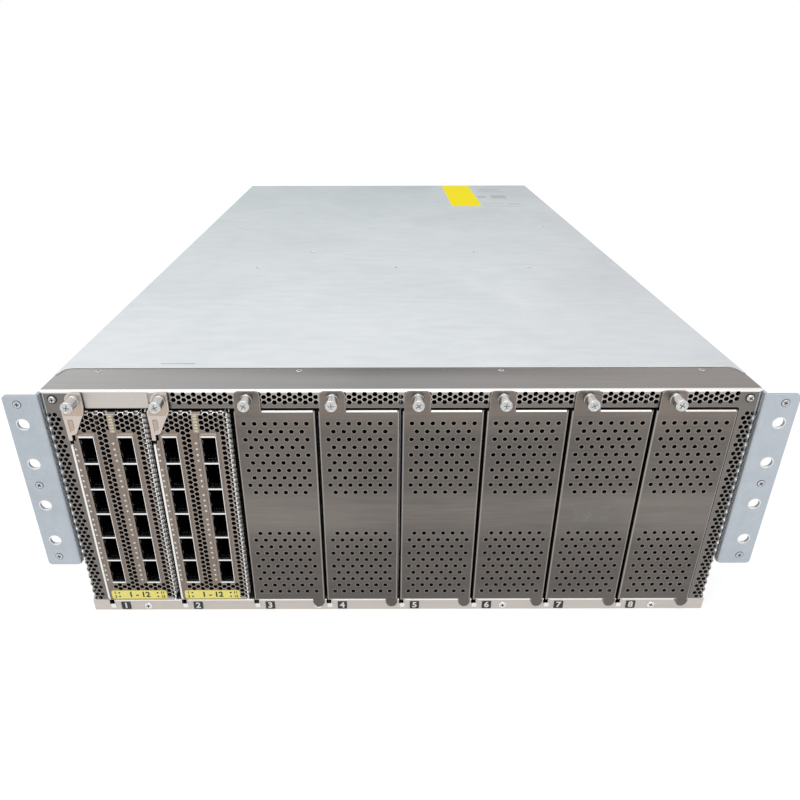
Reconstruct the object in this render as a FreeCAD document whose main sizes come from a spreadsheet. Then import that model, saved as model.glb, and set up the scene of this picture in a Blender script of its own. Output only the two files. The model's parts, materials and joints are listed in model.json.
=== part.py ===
"""Modular chassis switch, four rack units high: a sheet-steel chassis with eight upright front slots.

Slots 1 and 2 hold line modules with twelve ports each, slots 3 to 8 hold blank panels. Four fan trays and
six power supplies slide in from the back. Millimetres, +X right, +Y into the depth, +Z up. The origin is at
the middle of the base of the whole box; every sub-part is drawn from the front plane, where the panels'
faces lie.
"""
import FreeCAD, Part
import math
import os

import Sketcher

doc = FreeCAD.newDocument("ModularChassisSwitch")
Vector = FreeCAD.Vector

# ---- driving dimensions --------------------------------------------------------------------------------

DIMENSIONS = (
    ("slot_count", 8, "module slots"),
    ("slot_pitch", 52.0, "slot to slot"),
    ("side_strip", 11.5, "chassis side to the outermost slot"),
    ("body_wide", "=slot_count * slot_pitch + 2 * side_strip", "chassis over its sides"),
    ("body_tall", 176.7, "chassis over the cover"),
    ("body_deep", 762.0, "front plane to the back of the rear frame"),
    ("shell_sheet", 1.2, "chassis shell, frames and shelf"),
    ("cover_sheet", 1.0, "top cover"),
    ("cover_step", 0.5, "cover above the front frame's cap"),
    ("shell_flange", 12.0, "inward flange under the cover"),
    ("frame_back", 1.6, "front frame behind the front plane"),
    ("cap_deep", 34.0, "cap strip from the front plane to its back edge"),
    ("cap_edge", 8.5, "width of the S-curve cut at each back corner of the cap"),
    ("cap_curve", 6.0, "radius of each half of the S-curve"),
    ("bend_r", 1.8, "outside radius of the front frame's bends"),
    ("rail_tall", 9.6, "front rail below the slots"),
    ("rail_lip", 7.4, "depth of the rail's top lip"),
    ("slot_head", 12.7, "cover down to the slot opening"),
    ("slot_top", "=body_tall - slot_head", "top of the slot opening"),
    ("notch_wide", 3.5, "notch in the rail at each slot's left end"),
    ("notch_deep", 4.0, "depth of that notch below the rail's top"),
    ("screw_x", 10.0, "thumb screw from the slot's left end"),
    ("screw_drop", 5.3, "cover down to the thumb screws"),
    ("screw_z", "=body_tall - screw_drop", "height of the thumb screws"),
    ("screw_head_r", 3.75, "thumb screw head"),
    ("screw_head_long", 11.5, "thumb screw head"),
    ("screw_r", 2.0, "thumb screw shank"),
    ("screw_long", 7.6, "thumb screw shank"),
    ("screw_fit", 0.1, "clearance round the shank in its own panel"),
    ("screw_way", 1.2, "clearance round the shank in the front frame"),
    ("plate_space", 13.0, "slot's width beyond the bare plate's"),
    ("plate_wide", "=slot_pitch - plate_space", "bare plate over the first slot"),
    ("plate_tall", 10.4, "bare plate over the first slot"),
    ("plate_thick", 0.5, "bare plate over the first slot"),
    ("plate_left", 14.6, "bare plate from the first slot's left end"),
    ("panel_sheet", 1.2, "sheet of the panels and modules"),
    ("panel_low", 10.2, "lower edge of the blank panels"),
    ("panel_gap", 0.9, "blank panel's clearance to its slot on each side"),
    ("panel_return", 14.0, "folded edges of the panels"),
    ("panel_bend", 1.5, "outside radius of the panels' folds"),
    ("panel_drop", 1.2, "panels' upper edge below the slot opening's"),
    ("panel_top", "=slot_top - panel_drop", "upper edge of the panels' faces"),
    ("tab_left", 2.0, "screw tab from the slot's left end"),
    ("tab_wide", 16.0, "screw tab"),
    ("tab_drop", 0.7, "cover down to the screw tab"),
    ("tab_top", "=body_tall - tab_drop", "top of the screw tab and of the ejector"),
    ("tab_r", 3.0, "corner radius of the screw tab"),
    ("tongue_wide", 8.5, "tongue at the foot of a blank panel"),
    ("tongue_low", 3.9, "lower end of the tongue"),
    ("module_left", 0.4, "line module's face from the slot's left end"),
    ("module_space", 3.0, "line module's right wall to the next slot"),
    ("module_right", "=slot_pitch - module_space", "line module's right wall from the slot's left end"),
    ("module_low", 11.0, "line module's lower edge"),
    ("module_back", 14.0, "line module's back end to the midplane"),
    ("module_deep", "=midplane_y - module_back", "line module's depth"),
    ("port_wide", 9.0, "port opening"),
    ("port_tall", 18.3, "port opening"),
    ("port_pitch", 19.55, "port to port in a column"),
    ("port_first_x", 11.4, "first port column from the slot's left end"),
    ("port_drop", 27.45, "panels' upper edge down to the middle of the top port"),
    ("port_first_z", "=panel_top - port_drop", "middle of the top port"),
    ("port_columns", 24.3, "port column to port column"),
    ("port_count", 6, "ports in a column"),
    ("cage_wall", 1.2, "wall of the port cages"),
    ("cage_deep", 46.0, "depth of the port cages"),
    ("socket_deep", 42.0, "depth of a socket"),
    ("board_thick", 1.6, "printed boards"),
    ("board_gap", 0.05, "board to what it seats on"),
    ("pipe_wide", 2.0, "bars of the light pipe"),
    ("pipe_x", 3.2, "first bar of the light pipe from the slot's left end"),
    ("pipe_low", 24.0, "lower end of the light pipe"),
    ("pipe_drop", 1.6, "faceplate's notch down to the light pipe's left bar"),
    ("pipe_left_top", "=notch_low - pipe_drop", "top of the light pipe's left bar"),
    ("lamp_shift", 0.3, "status lamps left of the light pipe's second bar"),
    ("lamp_x", "=pipe_x + port_columns - lamp_shift", "status lamps from the slot's left end"),
    ("lamp_wide", 3.4, "status lamps"),
    ("lamp_tall", 12.5, "status lamps"),
    ("lamp_drop", 2.3, "panels' upper edge down to the status lamps"),
    ("lamp_top", "=panel_top - lamp_drop", "status lamps"),
    ("lamp_low", "=lamp_top - lamp_tall", "status lamps"),
    ("lever_left", 0.6, "ejector from the slot's left end"),
    ("lever_wide", 13.8, "ejector at its head"),
    ("lever_foot", 2.4, "ejector at its foot"),
    ("lever_sheet", 1.5, "thickness of the ejector"),
    ("lever_gap", 0.1, "ejector in front of the faceplate"),
    ("lever_drop", 20.2, "panels' upper edge down to the ejector's lower end"),
    ("lever_low", "=panel_top - lever_drop", "lower end of the ejector"),
    ("shoulder_rise", 22.4, "ejector's lower end to where it has its full width"),
    ("lever_shoulder", "=lever_low + shoulder_rise", "where the ejector reaches its full width"),
    ("ankle_rise", 4.6, "ejector's lower end to where it starts to widen"),
    ("lever_ankle", "=lever_low + ankle_rise", "where the ejector starts to widen"),
    ("lever_web", 1.6, "thickness of the ejector's web"),
    ("pivot_y", 2.5, "ejector pivot behind the front plane"),
    ("pivot_rise", 1.9, "ejector's lower end to its pivot"),
    ("pivot_z", "=lever_low + pivot_rise", "height of the ejector pivot"),
    ("pivot_r", 1.0, "pivot pin"),
    ("pivot_fit", 0.06, "clearance round the pivot pin"),
    ("hub_r", 2.2, "hub of the ejector"),
    ("lever_notch", 3.2, "notch in the faceplate for the ejector"),
    ("notch_under", 3.0, "that notch below the ejector"),
    ("notch_low", "=lever_low - notch_under", "lower end of that notch"),
    ("notch_drop", 1.8, "panels' upper edge down to that notch"),
    ("notch_top", "=panel_top - notch_drop", "upper end of that notch"),
    ("ear_wide", 21.8, "rack ear's flange beyond the chassis side"),
    ("ear_sheet", 2.0, "rack ears"),
    ("ear_low", 45.0, "lower end of the rack ears"),
    ("ear_drop", 2.2, "cover down to the rack ears"),
    ("ear_top", "=body_tall - ear_drop", "upper end of the rack ears"),
    ("ear_leg", 60.0, "rack ear's leg along the chassis side"),
    ("ear_bend", 2.6, "outside radius of the rack ear's bend"),
    ("ear_corner", 2.5, "corners of the rack ear's flange"),
    ("rack_side", 13.05, "chassis side to the rack holes"),
    ("rack_x", "=body_wide / 2 + rack_side", "rack holes from the middle"),
    ("rack_z", 65.9, "lowest rack hole"),
    ("rack_step_a", 28.55, "first rack hole to the second"),
    ("rack_step_b", 31.75, "second rack hole to the third"),
    ("rack_hole_r", 3.55, "rack holes"),
    ("divider_sheet", 0.8, "walls between the slots"),
    ("divider_start", 16.0, "front edge of those walls"),
    ("midplane_y", 300.0, "front face of the midplane"),
    ("midplane_thick", 2.4, "midplane"),
    ("midplane_side", 5.0, "midplane to the chassis side"),
    ("plug_wide", 8.0, "midplane connectors"),
    ("plug_tall", 90.0, "midplane connectors"),
    ("plug_low", 38.0, "midplane connectors"),
    ("plug_gap", 0.3, "connector to the module's board"),
    ("fabric_over", 9.6, "fabric board over the power shelf's height"),
    ("fabric_z", "=shelf_z + fabric_over", "height of the fabric board"),
    ("fabric_space", 104.0, "midplane to the fans, less the fabric board"),
    ("fabric_deep", "=body_deep - tray_deep - midplane_y - fabric_space", "fabric board"),
    ("fabric_side", 29.5, "fabric board to the chassis side"),
    ("fabric_wide", "=body_wide - 2 * fabric_side", "fabric board"),
    ("sink_side", 70.0, "heat sinks"),
    ("sink_tall", 42.0, "heat sinks"),
    ("sink_fins", 7, "fins of a heat sink"),
    ("sink_fin", 2.0, "thickness of a fin"),
    ("shelf_gap", 1.0, "power supplies to the shelf over them"),
    ("shelf_z", "=supply_low + supply_tall + shelf_gap", "height of the power shelf"),
    ("shelf_more", 20.0, "power shelf beyond the power supplies"),
    ("shelf_deep", "=supply_deep + shelf_more", "power shelf"),
    ("supply_count", 6, "power supplies"),
    ("supply_pitch", 55.0, "power supply to power supply"),
    ("supply_side", 5.3, "chassis side to the first power supply"),
    ("supply_left", "=supply_side - body_wide / 2", "left side of the first power supply"),
    ("supply_space", 0.6, "power supply to the next"),
    ("supply_wide", "=supply_pitch - supply_space", "power supply"),
    ("supply_tall", 40.0, "power supply"),
    ("supply_low", 3.4, "underside of the power supplies"),
    ("supply_deep", 300.0, "power supply"),
    ("inlet_wide", 27.5, "mains inlet"),
    ("inlet_tall", 20.0, "mains inlet"),
    ("inlet_deep", 17.0, "mains inlet"),
    ("handle_reach", 28.0, "handles behind the chassis"),
    ("handle_bar", 5.0, "thickness of the handles"),
    ("tray_count", 4, "fan trays"),
    ("tray_side", 5.5, "chassis side to the first fan tray's share of the width"),
    ("tray_pitch", "=(body_wide - 2 * tray_side) / tray_count", "fan tray to fan tray"),
    ("tray_space", 2.6, "fan housing to the next"),
    ("tray_wide", "=tray_pitch - tray_space", "fan housing"),
    ("tray_over", 4.2, "power shelf's underside to the fan housings"),
    ("tray_low", "=shelf_z + tray_over", "underside of the fan housings"),
    ("tray_head", 6.5, "cover down to the fan housings"),
    ("tray_tall", "=body_tall - tray_head - tray_low", "fan housing"),
    ("tray_deep", 58.0, "fan housing"),
    ("tray_lip", 0.9, "face of a fan tray beyond its housing on each side"),
    ("tray_face", 1.5, "face of a fan tray"),
    ("fan_up", 0.6, "fan shafts over the middle of their housings"),
    ("fan_z", "=tray_low + tray_tall / 2 + fan_up", "height of the fan shafts"),
    ("fan_wall", 3.2, "fan housing at its thinnest beside the bore"),
    ("fan_r", "=min(tray_wide; tray_tall) / 2 - fan_wall", "bore of the fan housings"),
    ("blade_gap", 1.5, "blades to the bore"),
    ("blade_r", "=fan_r - blade_gap", "rotor over the blades"),
    ("hub_fan_r", 18.0, "rotor hub"),
    ("hub_fan_long", 34.0, "rotor hub"),
    ("hub_gap", 0.4, "rotor hub to the struts"),
    ("blade_count", 5, "blades"),
    ("blade_thick", 1.6, "blades"),
    ("blade_chord", 30.0, "blades"),
    ("blade_slant", 38.0, "angle of the blades to the plane they turn in"),
    ("shaft_r", 4.0, "fan shaft"),
    ("shaft_fit", 0.05, "clearance round the fan shaft"),
    ("strut", 4.0, "struts that carry the fan shaft"),
    ("cut_gap", 0.6, "clearance of what slides into the rear frame"),
)

sizes = doc.addObject("Spreadsheet::Sheet", "Sizes")
for row, (alias, _, note) in enumerate(DIMENSIONS, start=1):
    sizes.set(f"A{row}", note)
    sizes.setAlias(f"B{row}", alias)
for row, (_, value, _) in enumerate(DIMENSIONS, start=1):
    sizes.set(f"B{row}", str(value))
doc.recompute()

WORDS = sorted((alias for alias, _, _ in DIMENSIONS), key=len, reverse=True)


def full(text):
    """The expression with each dimension's name led by the sheet's."""
    out = []
    word = ""
    for letter in str(text) + " ":
        if letter.isalnum() or letter == "_":
            word += letter
            continue
        out.append("Sizes." + word if word in WORDS else word)
        out.append(letter)
        word = ""
    return "".join(out).strip()


def number(text):
    """What an expression comes to now."""
    return float(sizes.evalExpression(full(text)))


def bind(thing, path, text):
    thing.setExpression(path, full(text))


# The front plane lies behind the middle so that the whole box, from screw heads to handles, is centred.
HEAD_REACH = "(lever_gap + lever_sheet + screw_head_long)"
FRONT = f"({HEAD_REACH} - handle_reach - body_deep) / 2"
SLOTS_LEFT = "(-slot_count * slot_pitch / 2)"
FRAME_FACE = "(frame_back + shell_sheet)"
CAP_TOP = "(body_tall - cover_step)"
SHELL_TOP = "(body_tall - cover_sheet)"


def slot_left(slot):
    """Left end of a slot, counted from 1."""
    return f"({SLOTS_LEFT} + {slot - 1} * slot_pitch)"


NUT_SIDES = 6
KNURL_SIDES = 16
HUB_SIDES = 20
BORE_SIDES = 28

# ---- building helpers ----------------------------------------------------------------------------------


def place(thing, across="0", deep="0", up="0"):
    """Put a sub-part at a distance right of the middle, behind the front plane and above the base."""
    bind(thing, "Placement.Base.x", across)
    bind(thing, "Placement.Base.y", f"{FRONT} + {deep}")
    bind(thing, "Placement.Base.z", up)


def new_body(label, across="0", deep="0", up="0", many=False):
    body = doc.addObject("PartDesign::Body", label)
    body.Label = label
    body.AllowCompound = many
    place(body, across, deep, up)
    return body


def copy_of(master, label, across="0", deep="0", up="0"):
    """The same piece again, as a node of its own."""
    link = doc.addObject("App::Link", label)
    link.Label = label
    link.LinkedObject = master
    link.LinkTransform = False
    place(link, across, deep, up)
    return link


def origin_feature(body, role):
    return [feature for feature in body.Origin.OriginFeatures if feature.Role == role][0]


def new_sketch(body, plane, offset="0"):
    """A sketch on one of the body's own planes, moved along the plane's normal."""
    sketch = body.newObject("Sketcher::SketchObject", "Sketch")
    sketch.AttachmentSupport = [(origin_feature(body, plane), "")]
    sketch.MapMode = "FlatFace"
    bind(sketch, "AttachmentOffset.Base.z", offset)
    return sketch


def front_sketch(body, deep="0"):
    """A sketch seen from the front, at a depth behind the body's own front plane."""
    return new_sketch(body, "XZ_Plane", f"-({deep})")


def hold(sketch, kind, *where, to):
    """A dimension of the sketch, bound to an expression."""
    index = sketch.addConstraint(Sketcher.Constraint(kind, *where, number(to)))
    sketch.setExpression(f"Constraints[{index}]", full(to))


def outline(sketch, *corners):
    """A closed polygon, each corner held by its two distances from the sketch's origin."""
    first = sketch.GeometryCount
    points = [Vector(number(x), number(y), 0) for x, y in corners]
    count = len(points)
    for i in range(count):
        sketch.addGeometry(Part.LineSegment(points[i], points[(i + 1) % count]), False)
    for i in range(count):
        sketch.addConstraint(Sketcher.Constraint("Coincident", first + i, 2, first + (i + 1) % count, 1))
    for i, (x, y) in enumerate(corners):
        hold(sketch, "DistanceX", -1, 1, first + i, 1, to=x)
        hold(sketch, "DistanceY", -1, 1, first + i, 1, to=y)


def rectangle(sketch, left, low, right, top):
    outline(sketch, (left, low), (right, low), (right, top), (left, top))


def circle(sketch, x, y, radius):
    index = sketch.GeometryCount
    middle = Vector(number(x), number(y), 0)
    sketch.addGeometry(Part.Circle(middle, Vector(0, 0, 1), number(radius)), False)
    hold(sketch, "DistanceX", -1, 1, index, 3, to=x)
    hold(sketch, "DistanceY", -1, 1, index, 3, to=y)
    hold(sketch, "Radius", index, to=radius)


def many_sided(sketch, x, y, radius, sides):
    """A regular polygon whose corners lie on a circle."""
    corners = []
    for i in range(sides):
        turn = f"{360 * (i + 0.5) / sides}deg"
        corners.append((f"{x} + ({radius}) * cos({turn})", f"{y} + ({radius}) * sin({turn})"))
    outline(sketch, *corners)


def pad(body, sketch, length, back=False, middle=False):
    """Material grown from the sketch: towards the viewer of the plane, or backwards."""
    feature = body.newObject("PartDesign::Pad", "Pad")
    feature.Profile = sketch
    feature.Reversed = back
    feature.Midplane = middle
    bind(feature, "Length", length)
    body.Tip = feature
    return feature


def cut(body, sketch, length, ahead=False, middle=False):
    """Material removed behind the sketch, or ahead of it."""
    feature = body.newObject("PartDesign::Pocket", "Pocket")
    feature.Profile = sketch
    feature.Reversed = ahead
    feature.Midplane = middle
    bind(feature, "Length", length)
    body.Tip = feature
    return feature


def row_of(body, axis, count, step, back=False):
    """One direction of a pattern."""
    pattern = body.newObject("PartDesign::LinearPattern", "Row")
    pattern.Direction = (origin_feature(body, axis), [""])
    pattern.Reversed = back
    pattern.Mode = "Spacing"
    bind(pattern, "Offset", step)
    bind(pattern, "Occurrences", count)
    return pattern


def across_middle(body):
    """A mirror about the chassis's middle."""
    other = body.newObject("PartDesign::Mirrored", "Mirror")
    other.MirrorPlane = (origin_feature(body, "YZ_Plane"), [""])
    return other


def repeat(body, feature, *rows, mirrored=False):
    """The feature repeated along each row in turn, and then on the other side of the middle."""
    grid = body.newObject("PartDesign::MultiTransform", "Grid")
    grid.Originals = [feature]
    steps = [row_of(body, *row) for row in rows]
    if mirrored:
        steps.append(across_middle(body))
    grid.Transformations = steps
    body.Tip = grid


def edges_where(body, test):
    """Names of the body's edges whose middle and direction pass the test."""
    doc.recompute()
    found = []
    for i, edge in enumerate(body.Tip.Shape.Edges, start=1):
        start, end = edge.Vertexes[0].Point, edge.Vertexes[-1].Point
        if test((start + end) * 0.5, end - start):
            found.append(f"Edge{i}")
    return found


def near(a, b):
    return abs(a - b) < 0.01


def rounded(body, radius, test):
    """The edges that pass the test, rounded."""
    base, names = body.Tip, edges_where(body, test)
    feature = body.newObject("PartDesign::Fillet", "Fillet")
    feature.Base = (base, names)
    bind(feature, "Radius", radius)
    body.Tip = feature
    return feature


# ---- chassis -------------------------------------------------------------------------------------------


def make_chassis_shell():
    """Folded tray: bottom, two sides and the flanges that carry the cover."""
    body = new_body("chassis_shell")
    side, flange = "body_wide / 2", "(body_wide / 2 - shell_flange)"
    profile = front_sketch(body, FRAME_FACE)
    outline(
        profile,
        (f"-{side}", "0"),
        (side, "0"),
        (side, SHELL_TOP),
        (flange, SHELL_TOP),
        (flange, f"{SHELL_TOP} - shell_sheet"),
        (f"{side} - shell_sheet", f"{SHELL_TOP} - shell_sheet"),
        (f"{side} - shell_sheet", "shell_sheet"),
        (f"shell_sheet - {side}", "shell_sheet"),
        (f"shell_sheet - {side}", f"{SHELL_TOP} - shell_sheet"),
        (f"-{flange}", f"{SHELL_TOP} - shell_sheet"),
        (f"-{flange}", SHELL_TOP),
        (f"-{side}", SHELL_TOP),
    )
    pad(body, profile, f"body_deep - {FRAME_FACE}", back=True)
    # The sides start where the front frame's returns end in their S-curve, the flanges behind its cap.
    sides = new_sketch(body, "YZ_Plane")
    reach = "2 * cap_curve - cap_edge + shell_sheet"
    start = f"cap_deep - cap_curve - sqrt(cap_curve ^ 2 - ({reach}) ^ 2) + board_gap"
    rectangle(sides, "0", "shell_sheet", start, "body_tall")
    cut(body, sides, "body_wide + 2", middle=True)
    flanges = new_sketch(body, "XY_Plane", "body_tall")
    inner = "body_wide / 2 - shell_sheet"
    rectangle(flanges, f"-({inner})", "0", inner, "cap_deep + cover_step")
    cut(body, flanges, "body_tall - slot_top")


def make_top_cover():
    """Flat lid from the cap to the rear frame, with corners that fill the cap's S-curves."""
    body = new_body("top_cover")
    sheet = new_sketch(body, "XY_Plane", SHELL_TOP)
    half = "body_wide / 2"
    rectangle(sheet, f"-{half}", "cap_deep + cover_step", half, "body_deep")
    pad(body, sheet, "cover_sheet")
    corner = pad(body, s_corner(body, SHELL_TOP, "cover_step"), "cover_sheet")
    repeat(body, corner, mirrored=True)
    beyond = new_sketch(body, "XY_Plane", SHELL_TOP)
    rectangle(beyond, half, "0", f"{half} + cap_edge", "body_deep")
    trim = cut(body, beyond, "cover_sheet", ahead=True)
    repeat(body, trim, mirrored=True)


def make_front_frame():
    """One folded sheet: cap, vent strip over the slots, side strips and their returns."""
    body = new_body("front_frame")
    half = "body_wide / 2"
    block = front_sketch(body, "frame_back")
    rectangle(block, f"-{half}", "shell_sheet", half, CAP_TOP)
    pad(body, block, "cap_deep - frame_back", back=True)
    rounded(
        body,
        "bend_r",
        lambda at, way: near(at.y, number("frame_back")) and at.z > number("rail_tall"),
    )
    hollow = front_sketch(body, FRAME_FACE)
    rectangle(hollow, f"shell_sheet - {half}", "0", f"{half} - shell_sheet", f"{CAP_TOP} - shell_sheet")
    cut(body, hollow, "cap_deep")
    opening = front_sketch(body)
    rectangle(opening, SLOTS_LEFT, "0", f"-{SLOTS_LEFT}", "slot_top")
    cut(body, opening, f"{FRAME_FACE} + 1")
    foot = front_sketch(body)
    rectangle(foot, f"-{half} - 1", "0", f"{half} + 1", "rail_tall")
    cut(body, foot, FRAME_FACE)
    rounded(
        body,
        "bend_r",
        lambda at, way: near(at.z, number("slot_top")) and near(way.x, 0) and near(way.z, 0),
    )
    cap_corner(body)
    screw_way(body)


def s_corner(body, height, shift):
    """The area outside the cap's back corner, along an S of two equal arcs, moved by a shift."""
    sketch = new_sketch(body, "XY_Plane", height)
    bend = number("cap_curve")
    start = Vector(number(f"body_wide / 2 - cap_edge + {shift}"), number(f"cap_deep + {shift}"), 0)
    along, bulge = Vector(bend, -bend, 0), Vector(bend, bend, 0) * math.sqrt(0.5)
    middle, end = start + along, start + along * 2
    swell = start - Vector(0, bend, 0) + bulge
    dip = end + Vector(0, bend, 0) - bulge
    corner = Vector(end.x, start.y + 1, 0)
    edges = [
        Part.Arc(start, swell, middle),
        Part.Arc(middle, dip, end),
        Part.LineSegment(end, corner),
        Part.LineSegment(corner, Vector(start.x, corner.y, 0)),
        Part.LineSegment(Vector(start.x, corner.y, 0), start),
    ]
    sketch.addGeometry(edges, False)
    return sketch


def cap_corner(body):
    """The cap's back corners, with the side returns ending there."""
    corner = cut(body, s_corner(body, "body_tall", "0"), "body_tall")
    repeat(body, corner, mirrored=True)


def screw_way(body):
    """Hexagonal holes of the floating nuts that the thumb screws reach, one over each slot."""
    sketch = front_sketch(body)
    across = "(screw_r + screw_way) / cos(30deg)"
    many_sided(sketch, f"({SLOTS_LEFT} + screw_x)", "screw_z", across, NUT_SIDES)
    hole = cut(body, sketch, f"{FRAME_FACE} + 1")
    repeat(body, hole, ("X_Axis", "slot_count", "slot_pitch"))


def make_front_rail():
    """Bottom rail with a top lip, notched at each slot's left end."""
    body = new_body("front_rail")
    half = "body_wide / 2"
    web = front_sketch(body, "frame_back")
    rectangle(web, f"-{half}", "0", half, "rail_tall")
    pad(body, web, "shell_sheet", back=True)
    lip = front_sketch(body, "frame_back")
    inner = f"{half} - shell_sheet - board_gap"
    rectangle(lip, f"-({inner})", "rail_tall - shell_sheet", inner, "rail_tall")
    pad(body, lip, "rail_lip", back=True)
    notch = front_sketch(body)
    rectangle(notch, SLOTS_LEFT, "rail_tall - notch_deep", f"{SLOTS_LEFT} + notch_wide", "rail_tall + 1")
    hole = cut(body, notch, "frame_back + rail_lip")
    repeat(body, hole, ("X_Axis", "slot_count", "slot_pitch"))


def make_label_plate():
    """Bare plate in front of the vent strip over the first slot."""
    plate = doc.addObject("Part::Box", "label_plate")
    plate.Label = "label_plate"
    bind(plate, "Length", "plate_wide")
    bind(plate, "Width", "plate_thick")
    bind(plate, "Height", "plate_tall")
    place(plate, f"{slot_left(1)} + plate_left", "frame_back - plate_thick", "tab_top - 0.9 - plate_tall")


def make_rack_ears():
    """Angle brackets with four rack holes in the flange; the right one mirrors the left."""
    ear = new_body("left_rack_ear")
    profile = new_sketch(ear, "XY_Plane", "ear_low")
    side = "(body_wide / 2)"
    outline(
        profile,
        (f"-{side}", "-ear_sheet"),
        (f"-{side}", "ear_leg"),
        (f"-{side} - ear_sheet", "ear_leg"),
        (f"-{side} - ear_sheet", "0"),
        (f"-{side} - ear_wide", "0"),
        (f"-{side} - ear_wide", "-ear_sheet"),
    )
    pad(ear, profile, "ear_top - ear_low")
    outer = number(f"-{side} - ear_wide")
    inner = number(f"-{side}")
    rounded(ear, "ear_bend", lambda at, way: near(at.x, inner) and near(at.y, number("-ear_sheet")))
    rounded(ear, "ear_corner", lambda at, way: near(at.x, outer) and near(way.x, 0) and near(way.z, 0))
    for place_z in ("rack_z", "rack_z + rack_step_a + rack_step_b"):
        sketch = front_sketch(ear, "-ear_sheet")
        circle(sketch, "-rack_x", place_z, "rack_hole_r")
        hole = cut(ear, sketch, "ear_sheet")
        repeat(ear, hole, ("Z_Axis", "2", "rack_step_a"))
    other = doc.addObject("Part::Mirroring", "right_rack_ear")
    other.Label = "right_rack_ear"
    other.Source = ear
    other.Normal = Vector(1, 0, 0)


# ---- slots and boards ----------------------------------------------------------------------------------


def make_slot_dividers():
    """Upright walls that part the slots and guide the modules."""
    body = new_body("slot_dividers", many=True)
    sketch = front_sketch(body, "divider_start")
    middle = f"({SLOTS_LEFT} + slot_pitch)"
    half = "divider_sheet / 2"
    rectangle(sketch, f"{middle} - {half}", "shell_sheet", f"{middle} + {half}", f"{CAP_TOP} - shell_sheet")
    wall = pad(body, sketch, "midplane_y - divider_start - 4", back=True)
    repeat(body, wall, ("X_Axis", "slot_count - 1", "slot_pitch"))


def make_midplane():
    """Board across the chassis with one air window a slot, and the connectors on its front."""
    board = new_body("midplane_board")
    sketch = front_sketch(board, "midplane_y")
    half = "(body_wide / 2 - midplane_side)"
    rectangle(sketch, f"-{half}", "shell_sheet", half, "slot_top")
    pad(board, sketch, "midplane_thick", back=True)
    window = front_sketch(board, "midplane_y")
    edge = f"({SLOTS_LEFT} + port_first_x + plug_wide + 6)"
    rectangle(window, edge, "fabric_z + 8", f"{edge} + slot_pitch / 2 - 4", "slot_top - 12")
    hole = cut(board, window, "midplane_thick")
    repeat(board, hole, ("X_Axis", "slot_count", "slot_pitch"))
    plugs = new_body("midplane_connectors", many=True)
    start = f"{BOARD_END} + plug_gap"
    block = front_sketch(plugs, start)
    left = f"({SLOTS_LEFT} + {MAIN_BOARD} + board_thick / 2 - plug_wide / 2)"
    rectangle(block, left, "plug_low", f"{left} + plug_wide", "plug_low + plug_tall")
    plug = pad(plugs, block, f"midplane_y - ({start})", back=True)
    repeat(plugs, plug, ("X_Axis", "slot_count", "slot_pitch"))


def box(label, wide, deep, tall, across, back, up):
    """A plain rectangular piece."""
    piece = doc.addObject("Part::Box", label)
    piece.Label = label
    bind(piece, "Length", wide)
    bind(piece, "Width", deep)
    bind(piece, "Height", tall)
    place(piece, across, back, up)
    return piece


def make_fabric():
    """Switching board behind the midplane, under two finned heat sinks."""
    back = "midplane_y + midplane_thick + board_gap"
    box("fabric_board", "fabric_wide", "fabric_deep", "board_thick", "-fabric_wide / 2", back, "fabric_z")
    sinks = new_body("heat_sinks", many=True)
    base = f"({back} + fabric_deep / 2 - sink_side / 2)"
    profile = front_sketch(sinks, base)
    middle, half = "-fabric_wide / 4", "sink_side / 2"
    rectangle(profile, f"{middle} - {half}", FABRIC_TOP, f"{middle} + {half}", f"{FABRIC_TOP} + 5")
    slab = pad(sinks, profile, "sink_side", back=True)
    repeat(sinks, slab, mirrored=True)
    fin = front_sketch(sinks, base)
    left = "(-fabric_wide / 4 - sink_side / 2)"
    rectangle(fin, left, f"{FABRIC_TOP} + 4", f"{left} + sink_fin", f"{FABRIC_TOP} + sink_tall")
    blade = pad(sinks, fin, "sink_side", back=True)
    step = "(sink_side - sink_fin) / (sink_fins - 1)"
    repeat(sinks, blade, ("X_Axis", "sink_fins", step), mirrored=True)


FABRIC_TOP = "(fabric_z + board_thick)"

# ---- line modules --------------------------------------------------------------------------------------

CAGE_HALF = "(port_wide / 2 + cage_wall)"
MAIN_BOARD = f"(port_first_x + {CAGE_HALF} + board_gap)"
BOARD_FRONT = "(panel_sheet + board_thick + board_gap)"
BOARD_END = "(module_deep + 2)"
INNER_LOW = "(module_low + panel_sheet + board_gap)"
INNER_TOP = "(panel_top - 0.8 - panel_sheet - board_gap)"


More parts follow.
